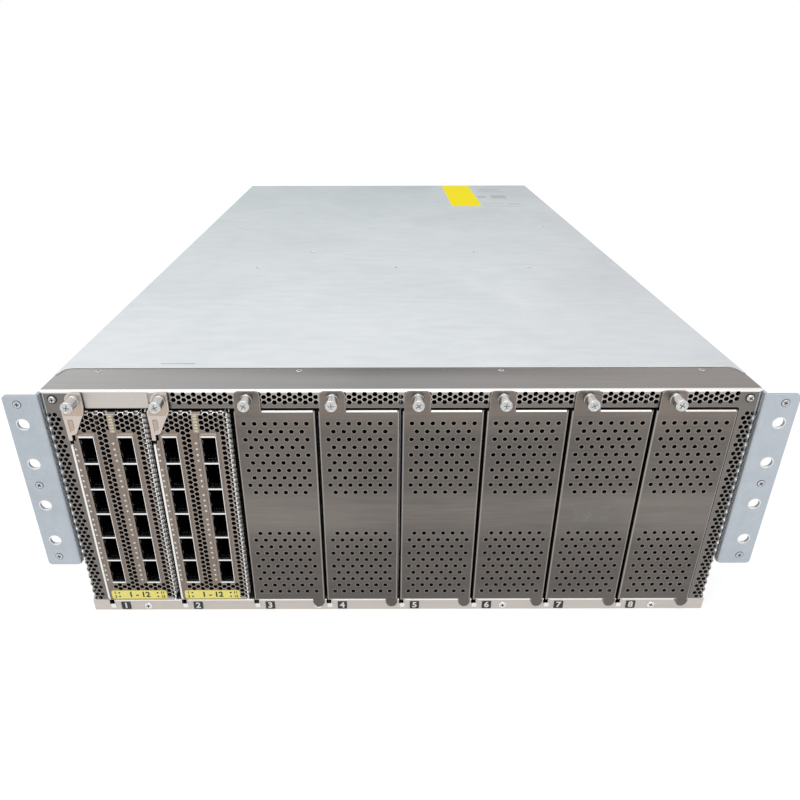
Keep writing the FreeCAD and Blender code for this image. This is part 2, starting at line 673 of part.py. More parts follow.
def make_line_faceplate(label, at):
    """Face with twelve port windows, a lamp window, a left return and the bracket of the ejector's pin."""
    body = new_body(label, at)
    top = "panel_top - 0.8"
    face = front_sketch(body)
    rectangle(face, "module_left", "module_low", "module_right", top)
    pad(body, face, "panel_sheet", back=True)
    edge = front_sketch(body)
    rectangle(edge, "module_left", "module_low", "module_left + panel_sheet", "notch_low")
    pad(body, edge, "panel_return", back=True)
    notch = front_sketch(body)
    rectangle(notch, "module_left - 1", "notch_low", "lever_notch", "notch_top")
    cut(body, notch, "panel_return")
    window = front_sketch(body)
    left, low = "(port_first_x - port_wide / 2)", "(port_first_z - port_tall / 2)"
    rectangle(window, left, low, f"{left} + port_wide", f"{low} + port_tall")
    hole = cut(body, window, "panel_sheet")
    repeat(
        body,
        hole,
        ("Z_Axis", "port_count", "port_pitch", True),
        ("X_Axis", "2", "port_columns"),
    )
    lamps = front_sketch(body)
    rectangle(lamps, "lamp_x", "lamp_low", "lamp_x + lamp_wide", "lamp_top")
    cut(body, lamps, "panel_sheet")
    bracket = front_sketch(body)
    rectangle(bracket, "lever_notch", "pivot_z - 2.5", "lever_notch + lever_sheet", "pivot_z + 2.5")
    pad(body, bracket, "pivot_y + 2.5", back=True)
    pin = new_sketch(body, "YZ_Plane", "lever_left + 0.2")
    circle(pin, "pivot_y", "pivot_z", "pivot_r")
    pad(body, pin, "lever_notch - lever_left + 0.2")


def make_port_cages():
    """Ganged cages of six sockets, one behind each port column; the first is drawn, the rest repeat it."""
    cage = new_body("port_cage_1a", f"{slot_left(1)} + port_first_x")
    outer = front_sketch(cage, "panel_sheet")
    low = "(port_first_z - (port_count - 1) * port_pitch - port_tall / 2 - cage_wall)"
    rectangle(outer, f"-{CAGE_HALF}", low, CAGE_HALF, "port_first_z + port_tall / 2 + cage_wall")
    pad(cage, outer, "cage_deep", back=True)
    socket = front_sketch(cage, "panel_sheet")
    half, foot = "port_wide / 2", "(port_first_z - port_tall / 2)"
    rectangle(socket, f"-{half}", foot, half, f"{foot} + port_tall")
    hole = cut(cage, socket, "socket_deep")
    repeat(cage, hole, ("Z_Axis", "port_count", "port_pitch", True))
    copy_of(cage, "port_cage_1b", f"{slot_left(1)} + port_first_x + port_columns")
    copy_of(cage, "port_cage_2a", f"{slot_left(2)} + port_first_x")
    copy_of(cage, "port_cage_2b", f"{slot_left(2)} + port_first_x + port_columns")


def make_line_carrier(label, at):
    """Channel that carries the boards: right wall with a flange above and below."""
    body = new_body(label, at)
    profile = front_sketch(body, "panel_sheet")
    inner, top = "module_left + 4.6", "(panel_top - 0.8)"
    outline(
        profile,
        (inner, "module_low"),
        ("module_right", "module_low"),
        ("module_right", top),
        (inner, top),
        (inner, f"{top} - panel_sheet"),
        ("module_right - panel_sheet", f"{top} - panel_sheet"),
        ("module_right - panel_sheet", "module_low + panel_sheet"),
        (inner, "module_low + panel_sheet"),
    )
    pad(body, profile, "module_deep - panel_sheet", back=True)


def make_light_pipe(label, at):
    """Clear moulding behind the face: a bar beside each port column, a foot and the lamp block."""
    body = new_body(label, at)
    second = "(pipe_x + port_columns)"
    half = "pipe_wide / 2"
    bars = front_sketch(body, "panel_sheet")
    outline(
        bars,
        (f"pipe_x - {half}", "pipe_low"),
        (f"{second} + {half}", "pipe_low"),
        (f"{second} + {half}", "lamp_low"),
        ("lamp_x + lamp_wide - board_gap", "lamp_low"),
        ("lamp_x + lamp_wide - board_gap", "lamp_top - board_gap"),
        ("lamp_x + board_gap", "lamp_top - board_gap"),
        ("lamp_x + board_gap", "lamp_low"),
        (f"{second} - {half}", "lamp_low"),
        (f"{second} - {half}", "pipe_low + pipe_wide"),
        (f"pipe_x + {half}", "pipe_low + pipe_wide"),
        (f"pipe_x + {half}", "pipe_left_top"),
        (f"pipe_x - {half}", "pipe_left_top"),
    )
    pad(body, bars, "board_thick", back=True)
    block = front_sketch(body, "-lever_gap")
    rectangle(
        block,
        "lamp_x + board_gap",
        "lamp_low + board_gap",
        "lamp_x + lamp_wide - board_gap",
        "lamp_top - board_gap",
    )
    pad(body, block, "panel_sheet + lever_gap + board_thick", back=True)


def make_ejector(label, at):
    """Ejector: a tapering plate in front of the face, with a web and hub that turn on the bracket's pin."""
    body = new_body(label, at)
    right = "(lever_left + lever_wide)"
    foot = "(lever_left + lever_foot)"
    plate = front_sketch(body, "-(lever_gap + lever_sheet)")
    outline(
        plate,
        ("lever_left", "lever_low"),
        (foot, "lever_low"),
        (foot, "lever_ankle"),
        (right, "lever_shoulder"),
        (right, "tab_top"),
        ("lever_left", "tab_top"),
    )
    pad(body, plate, "lever_sheet", back=True)
    web = new_sketch(body, "YZ_Plane", "lever_left")
    outline(
        web,
        ("-lever_gap - lever_sheet / 2", "lever_low"),
        ("pivot_y", "pivot_z - hub_r"),
        ("pivot_y + hub_r * 0.7", "pivot_z + hub_r * 0.7"),
        ("-lever_gap - lever_sheet / 2", "notch_top - 3"),
    )
    pad(body, web, "lever_web")
    hub = new_sketch(body, "YZ_Plane", "lever_left")
    circle(hub, "pivot_y", "pivot_z", "hub_r")
    pad(body, hub, "lever_foot")
    bore = new_sketch(body, "YZ_Plane", "lever_left")
    circle(bore, "pivot_y", "pivot_z", "pivot_r + pivot_fit")
    cut(body, bore, "lever_foot", ahead=True)
    hole = front_sketch(body, "-(lever_gap + lever_sheet)")
    circle(hole, "screw_x", "screw_z", "screw_r + screw_fit")
    cut(body, hole, "lever_sheet")


def make_line_module(slot):
    """Everything in one line module but its cages and thumb screw."""
    at = slot_left(slot)
    make_line_faceplate(f"line_faceplate_{slot}", at)
    make_line_carrier(f"line_carrier_{slot}", at)
    make_light_pipe(f"light_pipe_{slot}", at)
    make_ejector(f"ejector_lever_{slot}", at)
    tall = f"{INNER_TOP} - {INNER_LOW}"
    deep = f"{BOARD_END} - {BOARD_FRONT}"
    box(f"line_board_{slot}", "board_thick", deep, tall, f"{at} + {MAIN_BOARD}", BOARD_FRONT, INNER_LOW)
    second = f"{at} + {MAIN_BOARD} + port_columns"
    box(f"riser_board_{slot}", "board_thick", "2 * cage_deep", tall, second, BOARD_FRONT, INNER_LOW)


# ---- blank panels and thumb screws ---------------------------------------------------------------------


def make_blank_panels():
    """Folded pans that close the unused slots, each with a screw tab above and a tongue below."""
    body = new_body("blank_panel_3", slot_left(3))
    left, right = "panel_gap", "slot_pitch - panel_gap"
    pan = front_sketch(body)
    rectangle(pan, left, "panel_low", right, "panel_top")
    pad(body, pan, "panel_return", back=True)
    hollow = front_sketch(body, "panel_sheet")
    rectangle(
        hollow,
        f"{left} + panel_sheet",
        "panel_low + panel_sheet",
        f"{right} - panel_sheet",
        "panel_top - panel_sheet",
    )
    cut(body, hollow, "panel_return")
    tab = front_sketch(body)
    rectangle(tab, "tab_left", "panel_top - panel_sheet - panel_bend", "tab_left + tab_wide", "tab_top")
    pad(body, tab, "panel_sheet", back=True)
    rounded(body, "tab_r", lambda at, way: near(at.z, number("tab_top")) and near(way.x, 0))
    tongue = front_sketch(body)
    rectangle(tongue, f"{right} - tongue_wide", "tongue_low", right, "panel_low + panel_bend + panel_sheet")
    pad(body, tongue, "panel_sheet", back=True)
    rounded(
        body,
        "tongue_wide * 0.45",
        lambda at, way: near(at.z, number("tongue_low")) and near(way.x, 0),
    )
    hole = front_sketch(body)
    circle(hole, "screw_x", "screw_z", "screw_r + screw_fit")
    cut(body, hole, "panel_sheet")
    for slot in range(4, 9):
        copy_of(body, f"blank_panel_{slot}", slot_left(slot))


def make_thumb_screws():
    """Captive screws: a long head with knurled flats in front of its panel and a shank through it."""
    lever_face = "-(lever_gap + lever_sheet) - board_gap"
    body = new_body("thumb_screw_1", f"{slot_left(1)} + screw_x", lever_face, "screw_z")
    head = front_sketch(body, "board_gap - screw_head_long")
    many_sided(head, "0", "0", "screw_head_r", KNURL_SIDES)
    pad(body, head, "screw_head_long - board_gap", back=True)
    shank = front_sketch(body)
    circle(shank, "0", "0", "screw_r")
    pad(body, shank, "screw_long", back=True)
    copy_of(body, "thumb_screw_2", f"{slot_left(2)} + screw_x", lever_face, "screw_z")
    for slot in range(3, 9):
        copy_of(body, f"thumb_screw_{slot}", f"{slot_left(slot)} + screw_x", "-board_gap", "screw_z")


# ---- back of the chassis -------------------------------------------------------------------------------

REAR_FACE = "(body_deep - shell_sheet)"
TRAY_LEFT = "(-tray_count * tray_pitch / 2)"


def make_rear_frame():
    """Back wall with a window for each fan tray, one for the power supplies and one for the ports."""
    body = new_body("rear_frame")
    half = "(body_wide / 2 - shell_sheet)"
    wall = front_sketch(body, REAR_FACE)
    rectangle(wall, f"-{half}", "shell_sheet", half, f"{SHELL_TOP} - shell_sheet")
    pad(body, wall, "shell_sheet", back=True)
    fans = front_sketch(body, REAR_FACE)
    left = f"({TRAY_LEFT} + tray_pitch / 2 - tray_wide / 2 - cut_gap)"
    right = f"{left} + tray_wide + 2 * cut_gap"
    rectangle(fans, left, "tray_low - cut_gap", right, "tray_low + tray_tall + cut_gap")
    hole = cut(body, fans, "shell_sheet")
    repeat(body, hole, ("X_Axis", "tray_count", "tray_pitch"))
    supplies = front_sketch(body, REAR_FACE)
    rectangle(
        supplies,
        "supply_left - cut_gap",
        "supply_low - cut_gap",
        "supply_left + supply_count * supply_pitch",
        "supply_low + supply_tall + cut_gap",
    )
    cut(body, supplies, "shell_sheet")
    ports = front_sketch(body, REAR_FACE)
    low, top = "supply_low + 4", "supply_low + supply_tall - 4"
    rectangle(ports, f"{PORTS_LEFT} + 6", low, f"{PORTS_RIGHT} - 6", top)
    cut(body, ports, "shell_sheet")
    start = f"{REAR_FACE} - shelf_deep"
    box("power_shelf", f"2 * {half}", "shelf_deep", "shell_sheet", f"-{half}", start, "shelf_z")


PORTS_LEFT = "(supply_left + supply_count * supply_pitch + 4)"
PORTS_RIGHT = "(body_wide / 2 - 4)"


def make_management_panel():
    """Plate with the console and management sockets in a block behind it."""
    body = new_body("management_panel")
    plate = front_sketch(body, "body_deep")
    rectangle(plate, PORTS_LEFT, "supply_low", PORTS_RIGHT, "supply_low + supply_tall")
    pad(body, plate, "shell_sheet", back=True)
    block = front_sketch(body, "body_deep + shell_sheet")
    left = f"({PORTS_LEFT} + 14)"
    rectangle(block, left, "supply_low + 8", f"{left} + 44", "supply_low + 28")
    pad(body, block, "24")
    socket = front_sketch(body, "body_deep + shell_sheet")
    rectangle(socket, f"{left} + 4", "supply_low + 12", f"{left} + 16", "supply_low + 24")
    hole = cut(body, socket, "16", ahead=True)
    repeat(body, hole, ("X_Axis", "2", "24"))


def make_power_supplies():
    """Boxes that slide in below the shelf, with a mains inlet and a pull handle at the back."""
    body = new_body("power_supply_1", "supply_left")
    case = front_sketch(body, "body_deep - supply_deep")
    rectangle(case, "0", "supply_low", "supply_wide", "supply_low + supply_tall")
    pad(body, case, "supply_deep", back=True)
    inlet = front_sketch(body, "body_deep")
    low = "(supply_low + supply_tall / 2 - inlet_tall / 2)"
    rectangle(inlet, "4", low, "4 + inlet_wide", f"{low} + inlet_tall")
    cut(body, inlet, "inlet_deep", ahead=True)
    handle(body, "supply_wide - 12", "supply_low + 5", "supply_low + supply_tall - 5", "body_deep")
    for item in range(2, 7):
        copy_of(body, f"power_supply_{item}", f"supply_left + {item - 1} * supply_pitch")


def handle(body, left, low, top, face):
    """An upright loop of flat bar that stands out behind the chassis."""
    loop = new_sketch(body, "YZ_Plane", left)
    end = "body_deep + handle_reach"
    rectangle(loop, face, low, end, top)
    grip = pad(body, loop, "handle_bar")
    hollow = new_sketch(body, "YZ_Plane", left)
    rectangle(hollow, face, f"{low} + handle_bar", f"{end} - handle_bar", f"{top} - handle_bar")
    cut(body, hollow, "handle_bar", ahead=True)
    return grip


def make_fan_trays():
    """Housings with a round bore, a shaft on four struts and a pull handle."""
    body = new_body("fan_tray_1", f"{TRAY_LEFT} + tray_pitch / 2")
    half = "tray_wide / 2"
    housing = front_sketch(body, "body_deep - tray_deep")
    rectangle(housing, f"-{half}", "tray_low", half, "tray_low + tray_tall")
    pad(body, housing, "tray_deep", back=True)
    face = front_sketch(body, "body_deep")
    wide = f"({half} + tray_lip)"
    rectangle(face, f"-{wide}", "tray_low - tray_lip", wide, "tray_low + tray_tall + tray_lip")
    pad(body, face, "tray_face", back=True)
    bore = front_sketch(body, "body_deep - tray_deep")
    many_sided(bore, "0", "fan_z", "fan_r", BORE_SIDES)
    cut(body, bore, "tray_deep + tray_face")
    back = "body_deep + tray_face - strut"
    for wide_half, tall_half in (("fan_r + 1", "strut / 2"), ("strut / 2", "fan_r + 1")):
        bars = front_sketch(body, back)
        rectangle(bars, f"-({wide_half})", f"fan_z - ({tall_half})", wide_half, f"fan_z + {tall_half}")
        pad(body, bars, "strut", back=True)
    shaft = front_sketch(body, f"{back} - hub_fan_long - hub_gap - 1")
    circle(shaft, "0", "fan_z", "shaft_r")
    pad(body, shaft, "hub_fan_long + hub_gap + strut", back=True)
    handle(body, f"{half} - handle_bar", "fan_z - 34", "fan_z + 34", "body_deep + tray_face")
    for item in range(2, 5):
        copy_of(body, f"fan_tray_{item}", f"{TRAY_LEFT} + {item - 0.5} * tray_pitch")


ROTOR_FRONT = "(body_deep + tray_face - strut - hub_gap - hub_fan_long)"


def make_fan_rotors():
    """Slanted blades round a hub that turns on the shaft."""
    body = new_body("fan_rotor_1", f"{TRAY_LEFT} + tray_pitch / 2", ROTOR_FRONT, "fan_z")
    hub = front_sketch(body)
    many_sided(hub, "0", "0", "hub_fan_r", HUB_SIDES)
    pad(body, hub, "hub_fan_long", back=True)
    section = new_sketch(body, "YZ_Plane", "hub_fan_r - 1")
    middle = "hub_fan_long / 2"
    rise, run = "blade_chord / 2 * sin(blade_slant * 1deg)", "blade_chord / 2 * cos(blade_slant * 1deg)"
    thick_y = "blade_thick / 2 * cos(blade_slant * 1deg)"
    thick_z = "blade_thick / 2 * sin(blade_slant * 1deg)"
    outline(
        section,
        (f"{middle} - {rise} - {thick_y}", f"{thick_z} - {run}"),
        (f"{middle} - {rise} + {thick_y}", f"-{thick_z} - {run}"),
        (f"{middle} + {rise} + {thick_y}", f"{run} - {thick_z}"),
        (f"{middle} + {rise} - {thick_y}", f"{run} + {thick_z}"),
    )
    blade = pad(body, section, "blade_r - hub_fan_r")
    fan = body.newObject("PartDesign::PolarPattern", "Blades")
    fan.Originals = [blade]
    fan.Axis = (origin_feature(body, "Y_Axis"), [""])
    fan.Angle = 360
    bind(fan, "Occurrences", "blade_count")
    body.Tip = fan
    bore = front_sketch(body, "-1")
    circle(bore, "0", "0", "shaft_r + shaft_fit")
    cut(body, bore, "hub_fan_long + 2")
    for item in range(2, 5):
        copy_of(body, f"fan_rotor_{item}", f"{TRAY_LEFT} + {item - 0.5} * tray_pitch", ROTOR_FRONT, "fan_z")


# ---- build, check and write ----------------------------------------------------------------------------

make_chassis_shell()
make_top_cover()
make_front_frame()
make_front_rail()
make_label_plate()
make_rack_ears()
make_slot_dividers()
make_midplane()
make_fabric()
for slot in (1, 2):
    make_line_module(slot)
make_port_cages()
make_blank_panels()
make_thumb_screws()
make_rear_frame()
make_management_panel()
make_power_supplies()
make_fan_trays()
make_fan_rotors()
doc.recompute()

FAILED = ("Invalid", "Error")
for thing in doc.Objects:
    if any(word in state for state in thing.State for word in FAILED):
        raise RuntimeError(f"{thing.Label} failed: {thing.State}")

KINDS = ("PartDesign::Body", "App::Link", "Part::Box", "Part::Mirroring")
pieces = [thing for thing in doc.Objects if thing.TypeId in KINDS]
os.makedirs("parts", exist_ok=True)
for piece in pieces:
    if piece.Shape.isNull() or not piece.Shape.isValid():
        raise RuntimeError(f"{piece.Label} has no valid shape")
for piece in pieces:
    piece.Shape.exportStep(os.path.join("parts", f"{piece.Label}.step"))
print(len(pieces), "pieces,", sum(len(piece.Shape.Solids) for piece in pieces), "solids")
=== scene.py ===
# %% [markdown]
# # A modular chassis switch
# A sheet-steel rack chassis with eight upright slots: two line modules, six perforated blank panels, and
# fan trays and power supplies at the back. The solid frame comes from the CAD model, so the sizes below
# follow it. Blender adds what a CAD frame is too coarse for: perforated sheets, screws, labels and
# finishes.

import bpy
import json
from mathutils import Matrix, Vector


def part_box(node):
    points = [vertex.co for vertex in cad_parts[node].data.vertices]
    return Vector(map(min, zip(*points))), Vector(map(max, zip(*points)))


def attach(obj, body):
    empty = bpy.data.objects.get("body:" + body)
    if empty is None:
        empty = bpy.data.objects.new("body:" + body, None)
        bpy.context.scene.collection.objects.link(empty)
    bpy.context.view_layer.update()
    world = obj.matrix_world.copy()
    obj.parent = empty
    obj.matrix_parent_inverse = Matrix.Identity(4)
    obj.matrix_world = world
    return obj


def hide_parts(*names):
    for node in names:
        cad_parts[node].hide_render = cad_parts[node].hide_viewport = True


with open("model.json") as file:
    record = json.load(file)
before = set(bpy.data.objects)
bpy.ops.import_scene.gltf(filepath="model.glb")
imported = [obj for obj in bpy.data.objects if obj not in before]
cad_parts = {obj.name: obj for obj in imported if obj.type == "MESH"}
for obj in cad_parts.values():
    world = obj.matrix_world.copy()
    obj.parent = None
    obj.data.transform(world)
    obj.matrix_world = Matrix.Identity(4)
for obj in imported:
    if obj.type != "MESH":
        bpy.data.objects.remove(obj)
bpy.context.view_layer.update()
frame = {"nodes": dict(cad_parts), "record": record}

# %% Modules, units and objects
import json
import math

import bpy
from mathutils import Euler, Matrix, Vector
from mathutils.geometry import delaunay_2d_cdt

MM = 0.001
SLOTS, MODULE_SLOTS, BLANK_SLOTS = range(1, 9), (1, 2), range(3, 9)
FRONT_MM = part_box("line_faceplate_1")[0].y / MM
PANEL_GAP = 0.9
PANEL_LEFT, NEXT_LEFT = (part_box(name)[0].x / MM for name in ("blank_panel_3", "blank_panel_4"))
SLOT_PITCH = NEXT_LEFT - PANEL_LEFT


def left_mm(slot):
    """Left end of a slot, in millimetres."""
    return PANEL_LEFT - PANEL_GAP + (slot - 3) * SLOT_PITCH


def new_object(name, data):
    """An object in the scene."""
    thing = bpy.data.objects.new(name, data)
    bpy.context.scene.collection.objects.link(thing)
    return thing


print("front plane at", round(FRONT_MM, 2), "mm; slots every", round(SLOT_PITCH, 2), "mm")

# %% [markdown]
# ## The view
# A product picture of rack equipment is taken from above and in front with a short lens, so that the ports
# and the long cover both show. A camera is an object with a lens in millimetres on a 36 mm sensor; its
# small shift moves the picture without turning the camera, as a view camera's rising front does.

# %% Camera
EYE = Vector((-12.05, -752.55, 351.9)) * MM
LOOK_DOWN, LOOK_ASIDE, LEAN = 0.4739, -0.0008, -0.0018
LENS, SENSOR = 30.15, 36
camera_data = bpy.data.cameras.new("camera")
camera_data.lens, camera_data.sensor_width = LENS, SENSOR
camera_data.shift_x, camera_data.shift_y = 0.0225, 0.0092
camera = new_object("camera", camera_data)
camera.location = EYE
tilt = Euler((math.pi / 2 - LOOK_DOWN, 0, LOOK_ASIDE)).to_matrix()
camera.rotation_euler = (tilt @ Matrix.Rotation(LEAN, 3, "Z")).to_euler()
bpy.context.scene.camera = camera
print("camera", round(math.degrees(LOOK_DOWN), 1), "degrees down")

# %% [markdown]
# ## Node helpers
# A material is a small graph. These helpers make a node and wire its inputs in one line, so that each
# finish below reads as a recipe. An input may be a number, a colour or another node's output.

# %% Node helpers
def wire(tree, node, **inputs):
    """Sets a node's inputs by name, with spaces for underscores, from numbers or other nodes' outputs."""
    for name, value in inputs.items():
        socket = node.inputs[int(name[1:])] if name[1:].isdigit() else node.inputs[name.replace("_", " ")]
        if isinstance(value, bpy.types.NodeSocket):
            tree.links.new(value, socket)
        else:
            socket.default_value = value
    return node


def add_node(tree, kind, settings=None, **inputs):
    """A new node with its settings and inputs."""
    node = tree.nodes.new(kind)
    for name, value in (settings or {}).items():
        setattr(node, name, value)
    return wire(tree, node, **inputs)


def calculate(tree, operation, first, second=0.0, clamp=False):
    """One sum of two values."""
    settings = {"operation": operation, "use_clamp": clamp}
    return add_node(tree, "ShaderNodeMath", settings, _0=first, _1=second).outputs[0]


def spread(tree, value, low, high, to_low=0.0, to_high=1.0):
    """A value taken from one range to another, and held inside it."""
    node = add_node(tree, "ShaderNodeMapRange", None, _0=value, _1=low, _2=high, _3=to_low, _4=to_high)
    return node.outputs[0]


def blend_colours(tree, share, first, second, way="MIX"):
    """Two colours mixed by a share."""
    settings = {"data_type": "RGBA", "blend_type": way}
    return add_node(tree, "ShaderNodeMix", settings, _0=share, _6=first, _7=second).outputs[2]


def seen_directly(tree):
    """1 for what the camera, a reflection or clear material sees, 0 for what only lights the scene."""
    seen = tree.nodes.new("ShaderNodeLightPath")
    direct = calculate(tree, "MAXIMUM", seen.outputs["Is Camera Ray"], seen.outputs["Is Glossy Ray"])
    return calculate(tree, "MAXIMUM", direct, seen.outputs["Is Transmission Ray"])


def new_effect(name, inputs, outputs):
    """An empty shader node group with named inputs and outputs, each output (name, socket type)."""
    group = bpy.data.node_groups.new(name, "ShaderNodeTree")
    for label, number in inputs.items():
        socket = group.interface.new_socket(label, in_out="INPUT", socket_type="NodeSocketFloat")
        socket.default_value = number
    for label, kind in outputs:
        group.interface.new_socket(label, in_out="OUTPUT", socket_type=kind)
    return group, group.nodes.new("NodeGroupInput"), group.nodes.new("NodeGroupOutput")


def use_effect(tree, group, **values):
    """A group placed in a material with its own values."""
    return add_node(tree, "ShaderNodeGroup", {"node_tree": group}, **values)


# %% [markdown]
# ## Shared effects
# Rolled and brushed sheet has fine parallel streaks: noise stretched fifty times along one axis gives them.
# Handling leaves broad cloudy patches and a little dust, and edges and bends are painted lighter as a highlight.
# Each of these shows on several finishes, so each is a node group built once.

# %% Effect: grain
BROAD_SHARE = 0.12


def make_grain():
    """Fine streaks along X, Y or Z, by three stretch numbers."""
    group, given, out = new_effect(
        "sheet grain",
        {"Along X": 1.0, "Along Y": 1.0, "Along Z": 1.0, "Fineness": 900.0},
        [("Streak", "NodeSocketFloat"), ("Broad", "NodeSocketFloat")],
    )
    place = group.nodes.new("ShaderNodeTexCoord").outputs["Object"]
    stretch = add_node(
        group, "ShaderNodeCombineXYZ", None, X=given.outputs[0], Y=given.outputs[1], Z=given.outputs[2]
    )
    pulled = add_node(
        group, "ShaderNodeVectorMath", {"operation": "MULTIPLY"}, _0=place, _1=stretch.outputs[0]
    ).outputs[0]
    fine = add_node(group, "ShaderNodeTexNoise", None, Vector=pulled, Scale=given.outputs[3], Detail=4.0)
    coarser = calculate(group, "MULTIPLY", given.outputs[3], BROAD_SHARE)
    wide = add_node(group, "ShaderNodeTexNoise", None, Vector=pulled, Scale=coarser, Detail=3.0)
    wire(group, out, Streak=fine.outputs[0], Broad=wide.outputs[0])
    return group


GRAIN = make_grain()


# %% Effect: handling marks
def make_handling():
    """Cloudy patches and small specks of dust."""
    group, given, out = new_effect(
        "handling marks",
        {"Patch Size": 9.0, "Speck Size": 700.0},
        [("Patches", "NodeSocketFloat"), ("Specks", "NodeSocketFloat")],
    )
    place = group.nodes.new("ShaderNodeTexCoord").outputs["Object"]
    cloud = add_node(
        group, "ShaderNodeTexNoise", None, Vector=place, Scale=given.outputs[0], Detail=5.0, Distortion=0.6
    )
    dust = add_node(group, "ShaderNodeTexNoise", None, Vector=place, Scale=given.outputs[1], Detail=2.0)
    patches, specks = spread(group, cloud.outputs[0], 0.32, 0.68), spread(group, dust.outputs[0], 0.70, 0.78)
    wire(group, out, Patches=patches, Specks=specks)
    return group


HANDLING = make_handling()


# %% Effect: painted edge highlight
def make_edges():
    """Painted highlight mask: where a surface turns within a small radius, from the angle between its own and
    its rounded normal.
    """
    group, given, out = new_effect("painted edge highlight", {"Radius": 0.0006}, [("Edge", "NodeSocketFloat")])
    soft = add_node(group, "ShaderNodeBevel", {"samples": 4}, Radius=given.outputs[0])
    own = group.nodes.new("ShaderNodeNewGeometry").outputs["Normal"]
    turn = add_node(
        group, "ShaderNodeVectorMath", {"operation": "DOT_PRODUCT"}, _0=soft.outputs[0], _1=own
    ).outputs["Value"]
    wire(group, out, Edge=spread(group, turn, 0.995, 0.80))
    return group


EDGE_HIGHLIGHT = make_edges()
print("effects:", [g.name for g in bpy.data.node_groups])

# %% [markdown]
# ## Finishes
# The chassis shows five metals: pale blue-grey painted sheet on the cover, warm grey plated steel on the
# frame and panels, bright zinc on the ears, nickel on the screws and tin on the port cages. They share one
# recipe: a metallic shader whose colour and roughness wander with the grain and the handling marks. Colour
# is what the metal reflects head on, so it stays below white.

# %% Finish recipe
ALL_WAYS, ALONG_X, ALONG_Y, ALONG_Z = (1.0, 1.0, 1.0), (0.02, 1.0, 1.0), (1.0, 0.02, 1.0), (1.0, 1.0, 0.02)
DUST, DUST_SHARE = (0.75, 0.74, 0.72, 1.0), 0.12


def metal_finish(
    name, colour, dark, rough, patch, edge, stretch=ALL_WAYS, streak=0.04, metallic=1.0, fades=(),
    specular=0.5, reach=0.0006,
):
    """A sheet finish: two tones mixed by grain and patches, painted lighter on its edges as a highlight; each
    fade is another tone that it takes along an axis, as (axis, from, to, colour), used to paint light and shade."""
    material = bpy.data.materials.new(name)
    material.use_nodes = True
    tree = material.node_tree
    shader = tree.nodes["Principled BSDF"]
    grain = use_effect(tree, GRAIN, Along_X=stretch[0], Along_Y=stretch[1], Along_Z=stretch[2])
    marks = use_effect(tree, HANDLING)
    streaks = spread(tree, grain.outputs["Streak"], 0.3, 0.7)
    share = calculate(tree, "MULTIPLY", marks.outputs["Patches"], patch * 4)
    share = calculate(tree, "ADD", share, calculate(tree, "MULTIPLY", streaks, streak * 4))
    broad = spread(tree, grain.outputs["Broad"], 0.35, 0.65)
    share = calculate(tree, "ADD", share, calculate(tree, "MULTIPLY", broad, patch * 3), clamp=True)
    tone = colour + (1.0,)
    for axis, start, end, other in fades:
        place = tree.nodes.new("ShaderNodeTexCoord").outputs["Object"]
        along = add_node(tree, "ShaderNodeSeparateXYZ", None, Vector=place).outputs[axis]
        tone = blend_colours(tree, spread(tree, along, start, end), tone, other + (1.0,))
    darker = tuple(d / c for c, d in zip(colour, dark)) + (1.0,)
    tone = blend_colours(tree, share, tone, darker, "MULTIPLY")
    # Edges and bends take a lighter tone: a painted highlight.
    if edge:
        edge_shine = calculate(tree, "MULTIPLY", use_effect(tree, EDGE_HIGHLIGHT, Radius=reach).outputs["Edge"], edge)
        lighter = tuple(min(0.9, c * 1.4 + 0.3) for c in colour) + (1.0,)
        tone = blend_colours(tree, edge_shine, tone, lighter)
    tone = blend_colours(tree, calculate(tree, "MULTIPLY", marks.outputs["Specks"], DUST_SHARE), tone, DUST)
    roughness = calculate(tree, "ADD", calculate(tree, "MULTIPLY", streaks, streak * 1.5), rough)
    cloudy = calculate(tree, "MULTIPLY", marks.outputs["Patches"], patch)
    roughness = calculate(tree, "ADD", cloudy, roughness)
    relief = add_node(tree, "ShaderNodeBump", None, Strength=0.12, Distance=0.0001, Height=streaks)
    wire(tree, shader, Base_Color=tone, Roughness=roughness, Metallic=metallic, Normal=relief.outputs[0])
    wire(tree, shader, Specular_IOR_Level=specular)
    return material


# Painted shade on the cover: darker towards the back and towards the right.
COVER_PAINTED_SHADE = [("Y", -0.30, 0.55, (0.475, 0.535, 0.545)), ("X", 0.05, 0.45, (0.55, 0.56, 0.585))]
# Painted light on the cap: lighter towards the left, darker towards the right and darkest at the back.
CAP_PAINTED_LIGHT = [
    ("Y", -0.372, -0.354, (0.15, 0.143, 0.14)),
    ("X", -0.02, -0.21, (0.44, 0.435, 0.425)),
    ("X", 0.02, 0.21, (0.285, 0.257, 0.245)),
]
# Painted reflections on the pans: lighter across the plain middle band and near the top, darker over the hole
# fields.
PAN_PAINTED_LIGHT = [
    ("Z", 0.058, 0.080, (0.228, 0.204, 0.187)),
    ("Z", 0.092, 0.112, (0.165, 0.146, 0.133)),
    ("Z", 0.145, 0.162, (0.225, 0.19, 0.167)),
]

# %% Finishes: sheet and plate
FINISH = {}


def add_finishes(rows, **shared):
    """Finishes that share settings, from rows of (name, tone, darker tone, roughness, patch, painted edge
    highlight).
    """
    for key, row in rows.items():
        FINISH[key] = metal_finish(*row, **shared)


